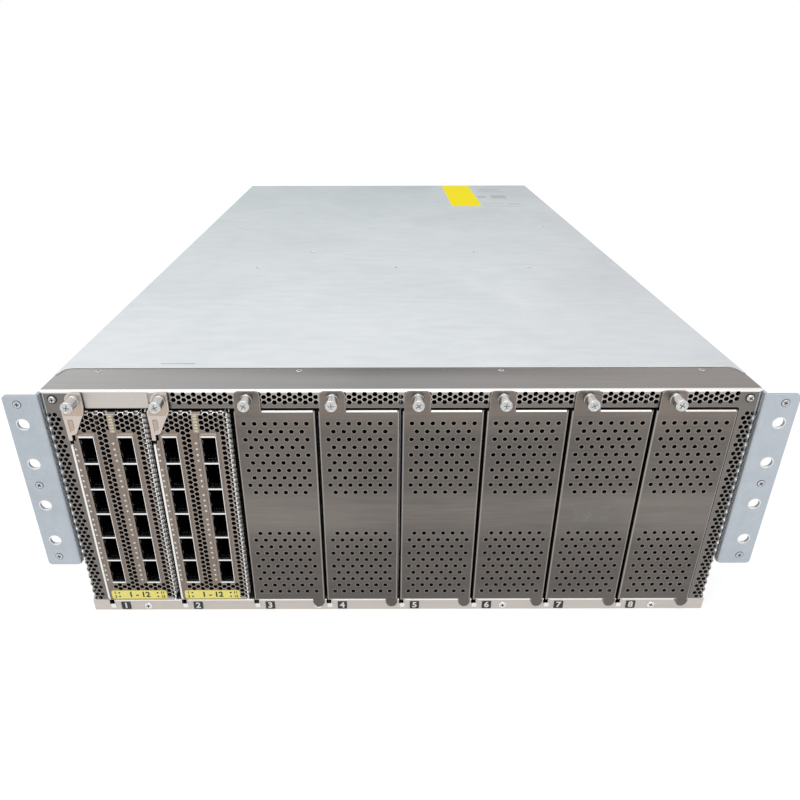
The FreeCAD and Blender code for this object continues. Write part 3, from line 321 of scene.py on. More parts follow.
add_finishes({
    "cover": ("pale cover sheet", (0.74, 0.77, 0.79), (0.61, 0.64, 0.665), 0.50, 0.10, 0.25),
}, stretch=(0.35, 1.0, 1.0), streak=0.03, metallic=0.6, fades=COVER_PAINTED_SHADE)
add_finishes({
    # The cap is the frame's own sheet, in a lighter tone because it faces up: painted light from above.
    "cap": ("brushed cap painted light", (0.31, 0.30, 0.295), (0.25, 0.24, 0.235), 0.30, 0.05, 0.3),
}, stretch=ALONG_X, streak=0.07, fades=CAP_PAINTED_LIGHT)
add_finishes({
    "frame": ("plated frame sheet", (0.20, 0.182, 0.168), (0.14, 0.128, 0.118), 0.30, 0.05, 0.55),
}, stretch=ALONG_X, streak=0.06)
add_finishes({
    "pan": ("brushed panel sheet", (0.157, 0.139, 0.127), (0.114, 0.103, 0.095), 0.28, 0.12, 0.70),
}, stretch=(0.05, 1.0, 1.0), streak=0.08, fades=PAN_PAINTED_LIGHT, reach=0.001)
add_finishes({
    # The pans' side folds and cut edges: a lighter tone, a painted highlight.
    "pan_side": ("panel side fold", (0.34, 0.32, 0.30), (0.25, 0.235, 0.22), 0.30, 0.05, 0.0),
    "lever": ("ejector lever", (0.61, 0.535, 0.485), (0.50, 0.43, 0.385), 0.36, 0.06, 0.5),
    # The head's warm tan is a painted reflection.
    "lever_head": ("ejector head", (0.50, 0.40, 0.32), (0.38, 0.31, 0.26), 0.34, 0.06, 0.5),
}, stretch=ALONG_Z)
add_finishes({
    "module": ("beige module sheet", (0.25, 0.205, 0.172), (0.17, 0.146, 0.128), 0.34, 0.05, 0.8),
}, stretch=ALONG_Z, streak=0.05)
add_finishes({
    # The frame's webs are its own sheet in a lighter tone: a painted highlight.
    "web": ("webs painted highlight", (0.40, 0.36, 0.33), (0.30, 0.27, 0.245), 0.30, 0.05, 0.5),
    # Near white: painted highlights on bends, hole walls, rims, edge strips and rivets; the rail's lugs and
    # screws use it too.
    "highlight_and_bright_metal": ("highlight and bright metal", (0.84, 0.83, 0.81), (0.70, 0.69, 0.67), 0.26, 0.05, 0.0),
    # The pans' hole walls take this lighter tone as a painted highlight; the supplies' vent plates take it as
    # their own colour.
    "hole_highlight_and_vent_plate": ("hole highlight and vent plate", (0.50, 0.47, 0.44), (0.36, 0.34, 0.32), 0.32, 0.05, 0.0),
    # Near black: the port cages carry the painted shade of the deep port openings.
    "cage": ("tinned cage painted shade", (0.045, 0.045, 0.046), (0.030, 0.030, 0.031), 0.36, 0.05, 0.2),
})
add_finishes({
    "zinc": ("zinc plate", (0.49, 0.53, 0.57), (0.38, 0.42, 0.465), 0.38, 0.08, 0.5),
}, streak=0.05)
add_finishes({
    "residue": ("old label marks", (0.33, 0.31, 0.29), (0.23, 0.215, 0.20), 0.55, 0.20, 0.0),
}, streak=0.10, metallic=0.5)
add_finishes({
    "rail": ("silver rail", (0.57, 0.525, 0.49), (0.49, 0.45, 0.42), 0.30, 0.05, 0.6),
    "bare_aluminium": ("bare aluminium", (0.70, 0.71, 0.72), (0.60, 0.61, 0.62), 0.28, 0.04, 0.25),
}, stretch=ALONG_X, streak=0.05)
add_finishes({
    "plate": ("bare name plate", (0.60, 0.56, 0.525), (0.54, 0.50, 0.47), 0.40, 0.04, 0.25),
}, stretch=ALONG_X, streak=0.03, metallic=0.6)
print("sheet finishes:", sorted(FINISH))

# %% Finishes: screws, lamps, boards and print
add_finishes({
    # Grain along the screw axis, darkened well past grain: painted reflections on polished barrels.
    "nickel": ("bright nickel", (0.66, 0.655, 0.645), (0.22, 0.22, 0.225), 0.12, 0.03, 0.5),
}, stretch=ALONG_Y, streak=0.12)
add_finishes({
    "zinc_screw": ("zinc screw", (0.50, 0.52, 0.55), (0.36, 0.38, 0.41), 0.28, 0.05, 0.5),
})
add_finishes({
    "gold": ("gold contacts", (0.80, 0.56, 0.22), (0.62, 0.42, 0.15), 0.25, 0.03, 0.0),
    "spring": ("spring contacts", (0.20, 0.22, 0.23), (0.12, 0.13, 0.14), 0.22, 0.03, 0.0),
}, streak=0.02)
add_finishes({
    "lamp": ("lamp moulding", (0.40, 0.34, 0.24), (0.31, 0.26, 0.18), 0.35, 0.04, 0.2),
    # The board's green is darkened nearly to black: painted shade where it shows through holes.
    "board": ("green board painted shade", (0.010, 0.042, 0.019), (0.007, 0.028, 0.013), 0.40, 0.10, 0.1),
    "black_plastic": ("black plastic", (0.022, 0.022, 0.024), (0.015, 0.015, 0.017), 0.45, 0.10, 0.04),
    "latch": ("latch plastic", (0.30, 0.055, 0.03), (0.23, 0.04, 0.022), 0.42, 0.06, 0.1),
}, streak=0.02, metallic=0.0)
add_finishes({
    "clear_lens": ("clear lens", (0.86, 0.84, 0.80), (0.72, 0.70, 0.66), 0.12, 0.04, 0.0),
    "amber": ("amber lens", (0.74, 0.66, 0.48), (0.60, 0.52, 0.36), 0.16, 0.04, 0.0),
    "black_print": ("black print", (0.018, 0.018, 0.020), (0.030, 0.029, 0.029), 0.50, 0.08, 0.0),
    "white_print": ("white print", (0.86, 0.86, 0.85), (0.78, 0.78, 0.77), 0.50, 0.06, 0.0),
    "grey_print": ("grey print", (0.36, 0.375, 0.39), (0.42, 0.435, 0.45), 0.50, 0.08, 0.0),
    "green_lens": ("green lens", (0.10, 0.42, 0.14), (0.07, 0.30, 0.10), 0.15, 0.04, 0.0),
    "yellow_print": ("yellow print", (0.98, 0.88, 0.25), (0.92, 0.80, 0.18), 0.42, 0.05, 0.0),
}, streak=0.01, metallic=0.0)
add_finishes({
    "strong_yellow": ("yellow field", (0.90, 0.76, 0.012), (0.84, 0.68, 0.01), 0.8, 0.06, 0.0),
}, streak=0.01, metallic=0.0, specular=0.1)
print("finishes:", len(FINISH))

# %% [markdown]
# ## Dressing the CAD nodes
# The record says which finish each CAD node has, slot by slot, so the loop asks the imported meshes for
# their slot names and puts the finished material into each.

# %% Dress the CAD nodes
for name, node in frame["nodes"].items():
    for material_slot in node.material_slots:
        wanted = material_slot.material.name.split(".")[0]
        material_slot.material = FINISH.get(wanted, FINISH["frame"])
frame["nodes"]["label_plate"].material_slots[0].material = FINISH["plate"]
print("dressed", len(frame["nodes"]), "nodes")

# %% [markdown]
# ## Cutting and folding sheet metal
# The whole front of this chassis is perforated sheet: punched flat, then folded. The mesh is made the same
# way. A flat pattern is an outline and a list of holes; a Delaunay triangulation fills the metal between
# them; each point beyond a bend line is then rolled round the bend. That gives clean holes, even on a
# curved fold, where cutting hundreds of holes with booleans would be slow and leave stray faces.

# %% Loops of points
def round_loop(x, z, radius, sides=16, turn=0.0):
    """Points round a circle, anticlockwise."""
    angles = [turn + i * 2 * math.pi / sides for i in range(sides)]
    return [(x + radius * math.cos(angle), z + radius * math.sin(angle)) for angle in angles]


def box_loop(left, low, right, top, corner=0.0, steps=4):
    """A rectangle with rounded corners, anticlockwise."""
    if corner == 0:
        return [(left, low), (right, low), (right, top), (left, top)]
    near, far, under, over = left + corner, right - corner, low + corner, top - corner
    points = []
    for x, z, start in [(far, under, -90), (far, over, 0), (near, over, 90), (near, under, 180)]:
        angles = [math.radians(start + 90 * i / steps) for i in range(steps + 1)]
        points += [(x + corner * math.cos(angle), z + corner * math.sin(angle)) for angle in angles]
    return points


def cross_loop(arm, half):
    """A cross recess: four arms of a length and a half width."""
    corner = [(arm, -half), (arm, half), (half, half)]
    points = []
    for quarter in range(4):
        c, s = [(1, 0), (0, 1), (-1, 0), (0, -1)][quarter]
        points += [(x * c - z * s, x * s + z * c) for x, z in corner]
    return points


HEX_UP, HEX_SIDE = math.radians(30), 0.0


def hexagon(x, z, across, turn):
    """A hexagonal hole by its width across the flats."""
    return round_loop(x, z, across / math.sqrt(3), 6, turn)


# %% Fold and sheet
BEND_STEPS = 4


def bent(point, folds, radius):
    """Where a flat point goes, and which way its outside faces: (x, depth, z) and a normal."""
    for axis, line, way, low, high in folds:
        along, other = (point[0], point[1]) if axis == "x" else (point[1], point[0])
        past = (along - line) * way
        if past > 0 and low <= other <= high:
            turn = min(past / radius, math.pi / 2)
            place = line + way * radius * math.sin(turn)
            depth = radius * (1 - math.cos(turn)) + max(0.0, past - radius * math.pi / 2)
            out, back = way * math.sin(turn), -math.cos(turn)
            if axis == "x":
                return Vector((place, depth, other)), Vector((out, back, 0))
            return Vector((other, depth, place)), Vector((0, back, out))
    return Vector((point[0], 0, point[1])), Vector((0, -1, 0))


def on_bend(corners, folds, radius):
    """1 for a face on a level bend, 2 for one on an upright bend, 0 for one on a flat."""
    middle = sum(corners, Vector((0, 0))) / len(corners)
    for axis, line, way, low, high in folds:
        along, other = middle if axis == "x" else (middle.y, middle.x)
        if low <= other <= high and (along - line) * way > 0:
            return (2 if axis == "x" else 1) if (along - line) * way < radius * math.pi / 2 else 0
    return 0


def flange_end(line, way, radius, depth):
    """The flat coordinate that ends up at a depth behind the face."""
    return line + way * (radius * math.pi / 2 + depth - radius)


def cut_sheet(outline, holes, thick, folds=(), radius=1.0, tones=(0, 0, 0)):
    """A sheet filled between its loops, folded, and given its thickness inwards; tones are the finish numbers
    of its flats, of its level bends, of its upright bends and cut edges, and last of its hole walls."""
    points, loops, edges = [], [], []
    for loop in [outline] + list(holes):
        loops.append(list(range(len(points), len(points) + len(loop))))
        points += [Vector(p) for p in loop]
    first, last = len(outline), len(points)
    for axis, line, way, low, high in folds:
        for step in range(BEND_STEPS + 1):
            at = line + way * radius * math.pi / 2 * step / BEND_STEPS
            ends = [(at, low), (at, high)] if axis == "x" else [(low, at), (high, at)]
            edges.append((len(points), len(points) + 1))
            points += [Vector(p) for p in ends]
    flat, _, faces, origins, _, sources = delaunay_2d_cdt(points, edges, loops, 1, 1e-5)
    faces = [face for face, source in zip(faces, sources) if list(source) == [0]]
    used = sorted({i for face in faces for i in face})
    number = {old: new for new, old in enumerate(used)}
    faces = [tuple(number[i] for i in face) for face in faces]
    placed = [bent(flat[i], folds, radius) for i in used]
    count = len(placed)
    solid = [place for place, _ in placed] + [place - out * thick for place, out in placed]
    sides = {(face[i], face[(i + 1) % len(face)]) for face in faces for i in range(len(face))}
    rims = [(a, b) for a, b in sides if (b, a) not in sides]
    walls = [(b, a, a + count, b + count) for a, b in sorted(rims)]
    backs = [tuple(i + count for i in reversed(face)) for face in faces]
    numbers = [tones[on_bend([flat[used[i]] for i in face], folds, radius)] for face in faces]
    punched = {number[old] for old in used if any(first <= i < last for i in origins[old])}
    rim_numbers = [tones[-1] if a in punched or b in punched else tones[2] for a, b in sorted(rims)]
    return solid, faces + backs + walls, numbers * 2 + rim_numbers


# %% [markdown]
# ## Turned parts and pieces
# Screws, lenses and hubs are turned on a lathe, so their meshes are a profile spun about an axis. A piece
# then joins its parts into one mesh in metres, shades it smooth except at real corners, and rides on its
# CAD body.

# %% Turned parts
def spun(profile, sides=24):
    """A profile of (radius, depth) spun about the depth axis, from its front to its back."""
    points, rings, faces = [], [], []
    for radius, depth in profile:
        if radius == 0:
            rings.append([len(points)])
            points.append(Vector((0, depth, 0)))
        else:
            rings.append(list(range(len(points), len(points) + sides)))
            points += [Vector((x, depth, z)) for x, z in round_loop(0, 0, radius, sides)]
    for front, back in zip(rings, rings[1:]):
        for i in range(sides):
            j = (i + 1) % sides
            if len(front) == 1:
                faces.append((front[0], back[i], back[j]))
            elif len(back) == 1:
                faces.append((front[i], back[0], front[j]))
            else:
                faces.append((front[i], back[i], back[j], front[j]))
    return points, faces


def moved(part, x=0.0, y=0.0, z=0.0, turn=None):
    """A part turned about an axis ("X", degrees), then shifted."""
    matrix = Matrix.Translation((x, y, z))
    if turn:
        matrix = matrix @ Matrix.Rotation(math.radians(turn[1]), 4, turn[0])
    return [matrix @ point for point in part[0]], *part[1:]


def toned(part, number):
    """A part with one finish number for all its faces."""
    return part[0], part[1], [number] * len(part[1])


def block(left, front, low, right, back, top):
    """A rectangular part."""
    return moved(cut_sheet(box_loop(left, low, right, top), [], back - front), y=front)


# %% Piece from parts
def make_piece(name, parts, body, finishes, stands_for=(), bevel=0.0, smooth=35):
    """One object from parts in millimetres, each (points, faces) or (points, faces, finish numbers)."""
    points, faces, numbers = [], [], []
    for part in parts:
        start = len(points)
        points += [point * MM for point in part[0]]
        faces += [tuple(i + start for i in face) for face in part[1]]
        numbers += part[2] if len(part) > 2 else [0] * len(part[1])
    mesh = bpy.data.meshes.new(name)
    mesh.from_pydata(points, [], faces)
    mesh.polygons.foreach_set("material_index", numbers)
    mesh.polygons.foreach_set("use_smooth", [True] * len(faces))
    mesh.set_sharp_from_angle(angle=math.radians(smooth))
    for finish in finishes:
        mesh.materials.append(FINISH[finish])
    piece = new_object(name, mesh)
    if bevel:
        edge = piece.modifiers.new("soft edges", "BEVEL")
        edge.width, edge.segments, edge.limit_method, edge.harden_normals = bevel * MM, 2, "ANGLE", True
    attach(piece, body)
    if stands_for:
        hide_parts(*stands_for)
    return piece


BODY_OF = {node: body for body, nodes in frame["record"]["behaviour"]["bodies"].items() for node in nodes}


def at_slot(slot, parts, x=0.0, y=0.0, z=0.0):
    """Parts drawn from a slot's left end and the front plane, put in their slot."""
    return [moved(part, left_mm(slot) + x, FRONT_MM + y, z) for part in parts]


# %% [markdown]
# ## Blank panels
# Six pans of plated steel close the unused slots. Each is one sheet with its four edges folded back, a
# screw tab that goes on upwards and a tongue that goes down behind the rail's edge. Two fields of round
# holes let air in, ten staggered rows each. The relief slits at the corners are where a real sheet is
# notched before folding; they keep the bends apart in the mesh too.

# %% Blank panels
PAN_LEFT, PAN_RIGHT, PAN_LOW, PAN_TOP, PAN_DEEP = 0.9, 51.1, 10.2, 162.8, 14.0
PAN_BEND, PAN_SHEET, SLIT = 1.05, 1.0, 0.4
TAB_LEFT, TAB_RIGHT, TAB_TOP, TAB_ROUND = 2.0, 18.0, 176.0, 3.0
TONGUE_LEFT, TONGUE_LOW, TONGUE_ROUND = 42.6, 3.9, 3.8
SCREW_X, SCREW_Z = 10.0, 171.4
HOLE_LEFT, HOLE_STEP, HOLE_ROW, HOLE_R = 6.7, 6.47, 5.68, 1.5
HIGH_FIELD_TOP, LOW_FIELD_TOP = 153.9, 69.6
SPARE = 0.1


def air_field(top_row, long_first):
    """Ten staggered rows of round holes, seven and six by turns."""
    holes = []
    for row in range(10):
        long_row = (row % 2 == 0) == long_first
        count, first = (7, HOLE_LEFT) if long_row else (6, HOLE_LEFT + HOLE_STEP / 2)
        z = top_row - row * HOLE_ROW
        holes += [round_loop(first + i * HOLE_STEP, z, HOLE_R, 14) for i in range(count)]
    return holes


def screw_hole():
    """The hole that the thumb screw goes through."""
    return round_loop(SCREW_X, SCREW_Z, 2.1, 20)


def far_ends(left, right, low, top, bend, left_deep, deep):
    """Where the flanges beyond four bend lines end on the flat sheet; only the left one has its own depth."""
    lines = [(left, -1, left_deep), (right, 1, deep), (low, -1, deep), (top, 1, deep)]
    return [flange_end(line, way, bend, depth) for line, way, depth in lines]


def pan_part():
    """The folded pan of one blank panel, from its slot's left end and the front plane."""
    left, right = PAN_LEFT + PAN_BEND, PAN_RIGHT - PAN_BEND
    low, top = PAN_LOW + PAN_BEND, PAN_TOP - PAN_BEND
    far_left, far_right, far_low, far_top = far_ends(left, right, low, top, PAN_BEND, PAN_DEEP, PAN_DEEP)
    foot_z = TONGUE_LOW + TONGUE_ROUND
    circle = round_loop((TONGUE_LEFT + PAN_RIGHT) / 2, foot_z, TONGUE_ROUND, 24)
    foot = sorted((x, z) for x, z in circle if z < foot_z)
    outline = [(far_left, PAN_LOW), (left, PAN_LOW), (left, low), (left + SLIT, low), (left + SLIT, far_low)]
    outline += [(TONGUE_LEFT - SLIT, far_low), (TONGUE_LEFT - SLIT, low), (TONGUE_LEFT, low)]
    outline += [(TONGUE_LEFT, foot_z)] + foot + [(PAN_RIGHT, foot_z), (PAN_RIGHT, PAN_LOW)]
    outline += [(right, PAN_LOW), (right, PAN_LOW + SLIT), (far_right, PAN_LOW + SLIT), (far_right, PAN_TOP)]
    outline += [(right, PAN_TOP), (right, top), (right - SLIT, top), (right - SLIT, far_top)]
    outline += [(TAB_RIGHT + SLIT, far_top), (TAB_RIGHT + SLIT, top), (TAB_RIGHT, top)]
    tab = box_loop(TAB_LEFT, PAN_TOP, TAB_RIGHT, TAB_TOP, TAB_ROUND)
    outline += [(x, z) for x, z in tab if z > TAB_TOP - TAB_ROUND - 0.01]
    outline += [(TAB_LEFT, PAN_TOP), (left, PAN_TOP), (left, PAN_TOP - SLIT), (far_left, PAN_TOP - SLIT)]
    folds = [
        ("x", left, -1, PAN_LOW - SPARE, PAN_TOP - SLIT + SPARE),
        ("x", right, 1, PAN_LOW + SLIT - SPARE, PAN_TOP + SPARE),
        ("z", low, -1, left + SLIT - SPARE, TONGUE_LEFT - SLIT + SPARE),
        ("z", top, 1, TAB_RIGHT + SLIT - SPARE, right - SLIT + SPARE),
    ]
    holes = air_field(HIGH_FIELD_TOP, True) + air_field(LOW_FIELD_TOP, False) + [screw_hole()]
    return cut_sheet(outline, holes, PAN_SHEET, folds, PAN_BEND, (0, 1, 2, 3))


pan = pan_part()
# Level bends are near white, and side folds and hole walls lighter: painted highlights.
pan_finishes = ["pan", "highlight_and_bright_metal", "pan_side", "hole_highlight_and_vent_plate"]
for slot in BLANK_SLOTS:
    name = f"blank_panel_{slot}"
    make_piece(f"pan_{slot}", at_slot(slot, [pan]), BODY_OF[name], pan_finishes, [name])
print("one pan:", len(pan[1]), "faces")

# %% [markdown]
# ## Front frame
# One sheet makes the cap, the vent strip over the slots, the side strips and their returns. Honeycomb
# punching gives the most open area a sheet can have, so the webs are under a millimetre. The pattern is a
# list of centres: columns by a step, every second one shifted by half a pitch. It runs on round the side
# bends.

# %% Front frame
HALF, CAP_Z, FRAME_Y, FRAME_SHEET, FRAME_BEND = 219.5, 176.2, 1.6, 1.2, 1.8
SLOTS_HALF, SLOT_TOP, FRAME_LOW, RETURN_LOW = 208.0, 164.0, 9.6, 1.3
CAP_BACK, CAP_EDGE, CAP_CURVE, RETURN_DEEP = 34.0, 8.5, 6.0, 24.2
HEX_WIDE, SIDE_HEX_WIDE = 2.95, 2.85
STRIP_COLUMN, STRIP_PITCH, STRIP_TOP, STRIP_LEFT, STRIP_COLUMNS = 3.16, 3.65, 173.3, 17.04, 12
SIDE_ROW, SIDE_STEP, SIDE_TOP, SIDE_ROWS, SIDE_FIRST = 3.22, 3.57, 159.7, 47, 213.5
NUT_WIDE, WEBS_LOW, WEBS_TOP, WEBS_HALF = 6.4, 167.6, 174.5, 205


def strip_holes():
    """Honeycomb over slots 2 to 8: columns of two holes, every second column half a pitch lower."""
    holes = []
    for slot in range(2, 9):
        for column in range(STRIP_COLUMNS - (slot == 8)):
            x = left_mm(slot) + STRIP_LEFT + column * STRIP_COLUMN
            z = STRIP_TOP - (column % 2) * STRIP_PITCH / 2
            holes += [hexagon(x, z - row * STRIP_PITCH, HEX_WIDE, HEX_SIDE) for row in range(2)]
    return holes


def side_holes():
    """Honeycomb down both side strips and onto their returns, every second row half a step nearer in."""
    holes = []
    for row in range(SIDE_ROWS):
        z = SIDE_TOP - row * SIDE_ROW
        shift = -SIDE_STEP / 2 if row % 2 else 0.0
        for column in range(3):
            x = SIDE_FIRST + shift + column * SIDE_STEP
            holes += [hexagon(place, z, SIDE_HEX_WIDE, HEX_UP) for place in (x, -x)]
    return holes


def frame_part():
    """The folded front frame from the middle and the front plane."""
    line, top = HALF - FRAME_BEND, CAP_Z - FRAME_BEND
    rolled = line + FRAME_BEND * math.pi / 2
    far = flange_end(line, 1, FRAME_BEND, RETURN_DEEP - FRAME_Y)

    def over(depth):
        return flange_end(top, 1, FRAME_BEND, depth - FRAME_Y)

    right = [(SLOTS_HALF, FRAME_LOW), (rolled + 0.3, FRAME_LOW), (rolled + 0.3, RETURN_LOW)]
    right += [(far, RETURN_LOW), (far, CAP_Z - FRAME_SHEET), (rolled + 0.1, CAP_Z - FRAME_SHEET)]
    right += [(rolled + 0.1, top - 0.3), (line, top - 0.3), (line, top), (HALF, top)]
    first, second, middle = HALF - CAP_EDGE, HALF - CAP_EDGE + 2 * CAP_CURVE, CAP_BACK - CAP_CURVE
    right.append((HALF, over(middle - math.sqrt(CAP_CURVE**2 - (second - HALF) ** 2))))
    for angle in map(math.radians, (55, 65, 75, 90)):
        x = second - CAP_CURVE * math.sin(angle)
        if x < HALF:
            right.append((x, over(middle - CAP_CURVE * math.cos(angle))))
    for angle in map(math.radians, (15, 30, 45, 60, 75, 90)):
        right.append((first + CAP_CURVE * math.cos(angle), over(middle + CAP_CURVE * math.sin(angle))))
    opening = [(-SLOTS_HALF + x, SLOT_TOP - drop) for x, drop in ((0, 1.8), (0.5, 0.5), (1.8, 0))]
    opening += [(-x, z) for x, z in reversed(opening)]
    outline = right + [(-x, z) for x, z in reversed(right)] + opening
    folds = [("z", top, 1, -HALF - SPARE, HALF + SPARE)]
    folds += [("x", way * line, way, RETURN_LOW - SPARE, CAP_Z) for way in (1, -1)]
    nuts = [hexagon(left_mm(slot) + SCREW_X, SCREW_Z, NUT_WIDE, HEX_SIDE) for slot in SLOTS]
    # Bends and hole walls take the near-white tone: painted highlights.
    return cut_sheet(outline, strip_holes() + side_holes() + nuts, FRAME_SHEET, folds, FRAME_BEND, (0, 2, 2))


def is_cap(corners):
    """True for a face of the cap, which lies on top behind the bend."""
    return min(point.y for point in corners) > FRAME_BEND - 0.1 and corners[0].z > CAP_Z - 2


def is_web(corners):
    """True for a face of the honeycomb strip's front, which takes the lighter web tone as a painted highlight.
    """
    middle = sum(corners, Vector()) / len(corners)
    return WEBS_LOW < middle.z < WEBS_TOP and abs(middle.x) < WEBS_HALF and middle.y < 0.1


points, faces, numbers = frame_part()
for index, face in enumerate(faces):
    corners = [points[i] for i in face]
    if numbers[index] == 0:
        # Cap faces take the lighter cap tone, painted light from above; web faces take the lighter web tone, a
        # painted highlight.
        numbers[index] = 1 if is_cap(corners) else 3 if is_web(corners) else 0
front = moved((points, faces, numbers), 0, FRONT_MM + FRAME_Y)
make_piece("folded_front_frame", [front], "chassis", ["frame", "cap", "highlight_and_bright_metal", "web"], ["front_frame"])
print("front frame:", len(faces), "faces")

# %% [markdown]
# ## Line modules
# A line module is a box of thin sheet: face, right wall, top and bottom are one folded blank. The face has
# a window for each port, a window for the lamps, a hole for every indicator and honeycomb wherever there is
# room. The honeycomb is one grid of centres kept only inside a few bands, so that it stays in step from one
# band to the next and on round the bend.

# %% Module sheet
MODULE_LEFT, MODULE_RIGHT, MODULE_LOW, MODULE_TOP, MODULE_DEEP = 0.4, 49.0, 11.0, 162.0, 286.0
NOTCH_X, NOTCH_LOW, NOTCH_TOP, WALL_START = 3.2, 139.6, 161.0, 5.0
PORT_X, PORT_STEP, PORT_Z, PORT_PITCH, PORT_WIDE, PORT_TALL = 11.4, 24.3, 135.35, 19.55, 9.0, 18.3
LAMP_LEFT, LAMP_RIGHT, LAMP_LOW, LAMP_TOP = 27.2, 30.6, 148.0, 160.5
GRID_X, GRID_STEP, GRID_Z, GRID_PITCH, GRID_WIDE = 47.9, 3.08, 160.3, 3.66, 3.05
WALL_HOLES, PIVOT_Z = 55.0, 144.5
LED_COLUMNS, LED_TOP, LED_STEP, LED_R = (3.2, 27.5), 4.6, 4.25, 0.7
MODULE_BEND, MODULE_SHEET = 1.5, 1.2
PORT_COLUMNS = {"a": PORT_X, "b": PORT_X + PORT_STEP}
PORT_HEIGHTS = [PORT_Z - port * PORT_PITCH for port in range(6)]
HALF_X, HALF_Z = PORT_WIDE / 2, PORT_TALL / 2


def open_band(x, z):
    """True where the module's sheet is honeycomb; x runs on round the bend onto the wall."""
    if z > 147.5:
        return 6.5 < x < WALL_HOLES and not 27.0 < x < 32.4 and z < 162.4 and (x < 46.5 or z < 160.5)
    if z > 26.5:
        return 19.5 < x < 24.2 or 44.0 < x < WALL_HOLES
    return 20.5 < z and 5.5 < x < WALL_HOLES or WALL_HOLES > x > 44.0 and z > 13.0


def grid_holes():
    """The honeycomb centres that fall in a band."""
    holes = []
    for column in range(-8, 15):
        x = GRID_X - column * GRID_STEP
        for row in range(-4, 42):
            z = GRID_Z - row * GRID_PITCH - (column % 2) * GRID_PITCH / 2
            if open_band(x, z) and z > 13.0 and not (160.6 < z and x > 45.8):
                reach = LAMP_LEFT - 0.4 if z > 147.5 and x < LAMP_LEFT else 99.0
                holes.append([(min(px, reach), pz) for px, pz in hexagon(x, z, GRID_WIDE, HEX_SIDE)])
    return holes


def led_places():
    """Centres of the port indicators: four beside each port."""
    heights = [middle + HALF_Z - LED_TOP - step * LED_STEP for middle in PORT_HEIGHTS for step in range(4)]
    return [(x, z) for x in LED_COLUMNS for z in heights if x > NOTCH_X or z < NOTCH_LOW - 2]


def window(x, z):
    """The window of a port, from its middle."""
    return box_loop(x - HALF_X, z - HALF_Z, x + HALF_X, z + HALF_Z, 0.3, 2)


def module_part():
    """The folded blank of a line module, from its slot's left end and the front plane."""
    left, right = MODULE_LEFT + MODULE_BEND, MODULE_RIGHT - MODULE_BEND
    low, top = MODULE_LOW + MODULE_BEND, MODULE_TOP - MODULE_BEND
    ends = far_ends(left, right, low, top, MODULE_BEND, PAN_DEEP, MODULE_DEEP)
    far_left, far_right, far_low, far_top = ends
    near, edge = WALL_START - SLIT, right - SLIT
    outline = [(far_left, MODULE_LOW), (near, MODULE_LOW), (near, low), (WALL_START, low)]
    outline += [(WALL_START, far_low), (edge, far_low), (edge, low), (right, low), (right, MODULE_LOW)]
    outline += [(far_right, MODULE_LOW), (far_right, MODULE_TOP), (right, MODULE_TOP), (right, top), (edge, top)]
    outline += [(edge, far_top), (WALL_START, far_top), (WALL_START, top), (near, top), (near, MODULE_TOP)]
    outline += [(MODULE_LEFT, MODULE_TOP), (MODULE_LEFT, NOTCH_TOP), (NOTCH_X, NOTCH_TOP)]
    outline += [(NOTCH_X, NOTCH_LOW), (far_left, NOTCH_LOW)]
    folds = [
        ("x", left, -1, MODULE_LOW - SPARE, NOTCH_LOW + SPARE),
        ("x", right, 1, MODULE_LOW - SPARE, MODULE_TOP + SPARE),
        ("z", low, -1, WALL_START - SPARE, edge + SPARE),
        ("z", top, 1, WALL_START - SPARE, edge + SPARE),
    ]
    holes = grid_holes() + [round_loop(x, z, LED_R + 0.05, 10) for x, z in led_places()]
    holes.append(box_loop(LAMP_LEFT, LAMP_LOW, LAMP_RIGHT, LAMP_TOP))
    holes += [window(x, z) for z in PORT_HEIGHTS for x in PORT_COLUMNS.values()]
    # Bends and hole walls take the near-white tone: painted highlights.
    return cut_sheet(outline, holes, MODULE_SHEET, folds, MODULE_BEND, (0, 1, 1))


def pivot_parts():
    """The bracket behind the notch and the pin that the ejector turns on."""
    bracket = block(NOTCH_X, 0.0, 142.0, NOTCH_X + 1.5, 5.0, 147.0)
    pin = moved(spun([(0, 0), (1.0, 0), (1.0, 2.6), (0, 2.6)], 20), 3.4, 2.5, PIVOT_Z, ("Z", 90))
    return [bracket, pin]


module = module_part()
for slot in MODULE_SLOTS:
    stands_for = [f"line_faceplate_{slot}", f"line_carrier_{slot}"]
    parts = at_slot(slot, [module] + pivot_parts())
    make_piece(f"module_box_{slot}", parts, BODY_OF[stands_for[0]], ["module", "highlight_and_bright_metal"], stands_for)
print("module box:", len(module[1]), "faces")

# %% [markdown]
# ## Port surrounds
# A raised surround is pressed round each column of six ports. Its sloping sides are what make it read as
# raised: they face away from the sheet and catch the light on one side. A cut sheet makes its front, and a
# ring of faces between a wide loop on the sheet and a narrow loop on the front makes the slope.

# %% Port surrounds
SURROUND, SURROUND_RISE, SURROUND_SLOPE = (-6.3, 27.0, 6.2, 147.4), 0.8, 0.7
SURROUND_ROUND = 1.6


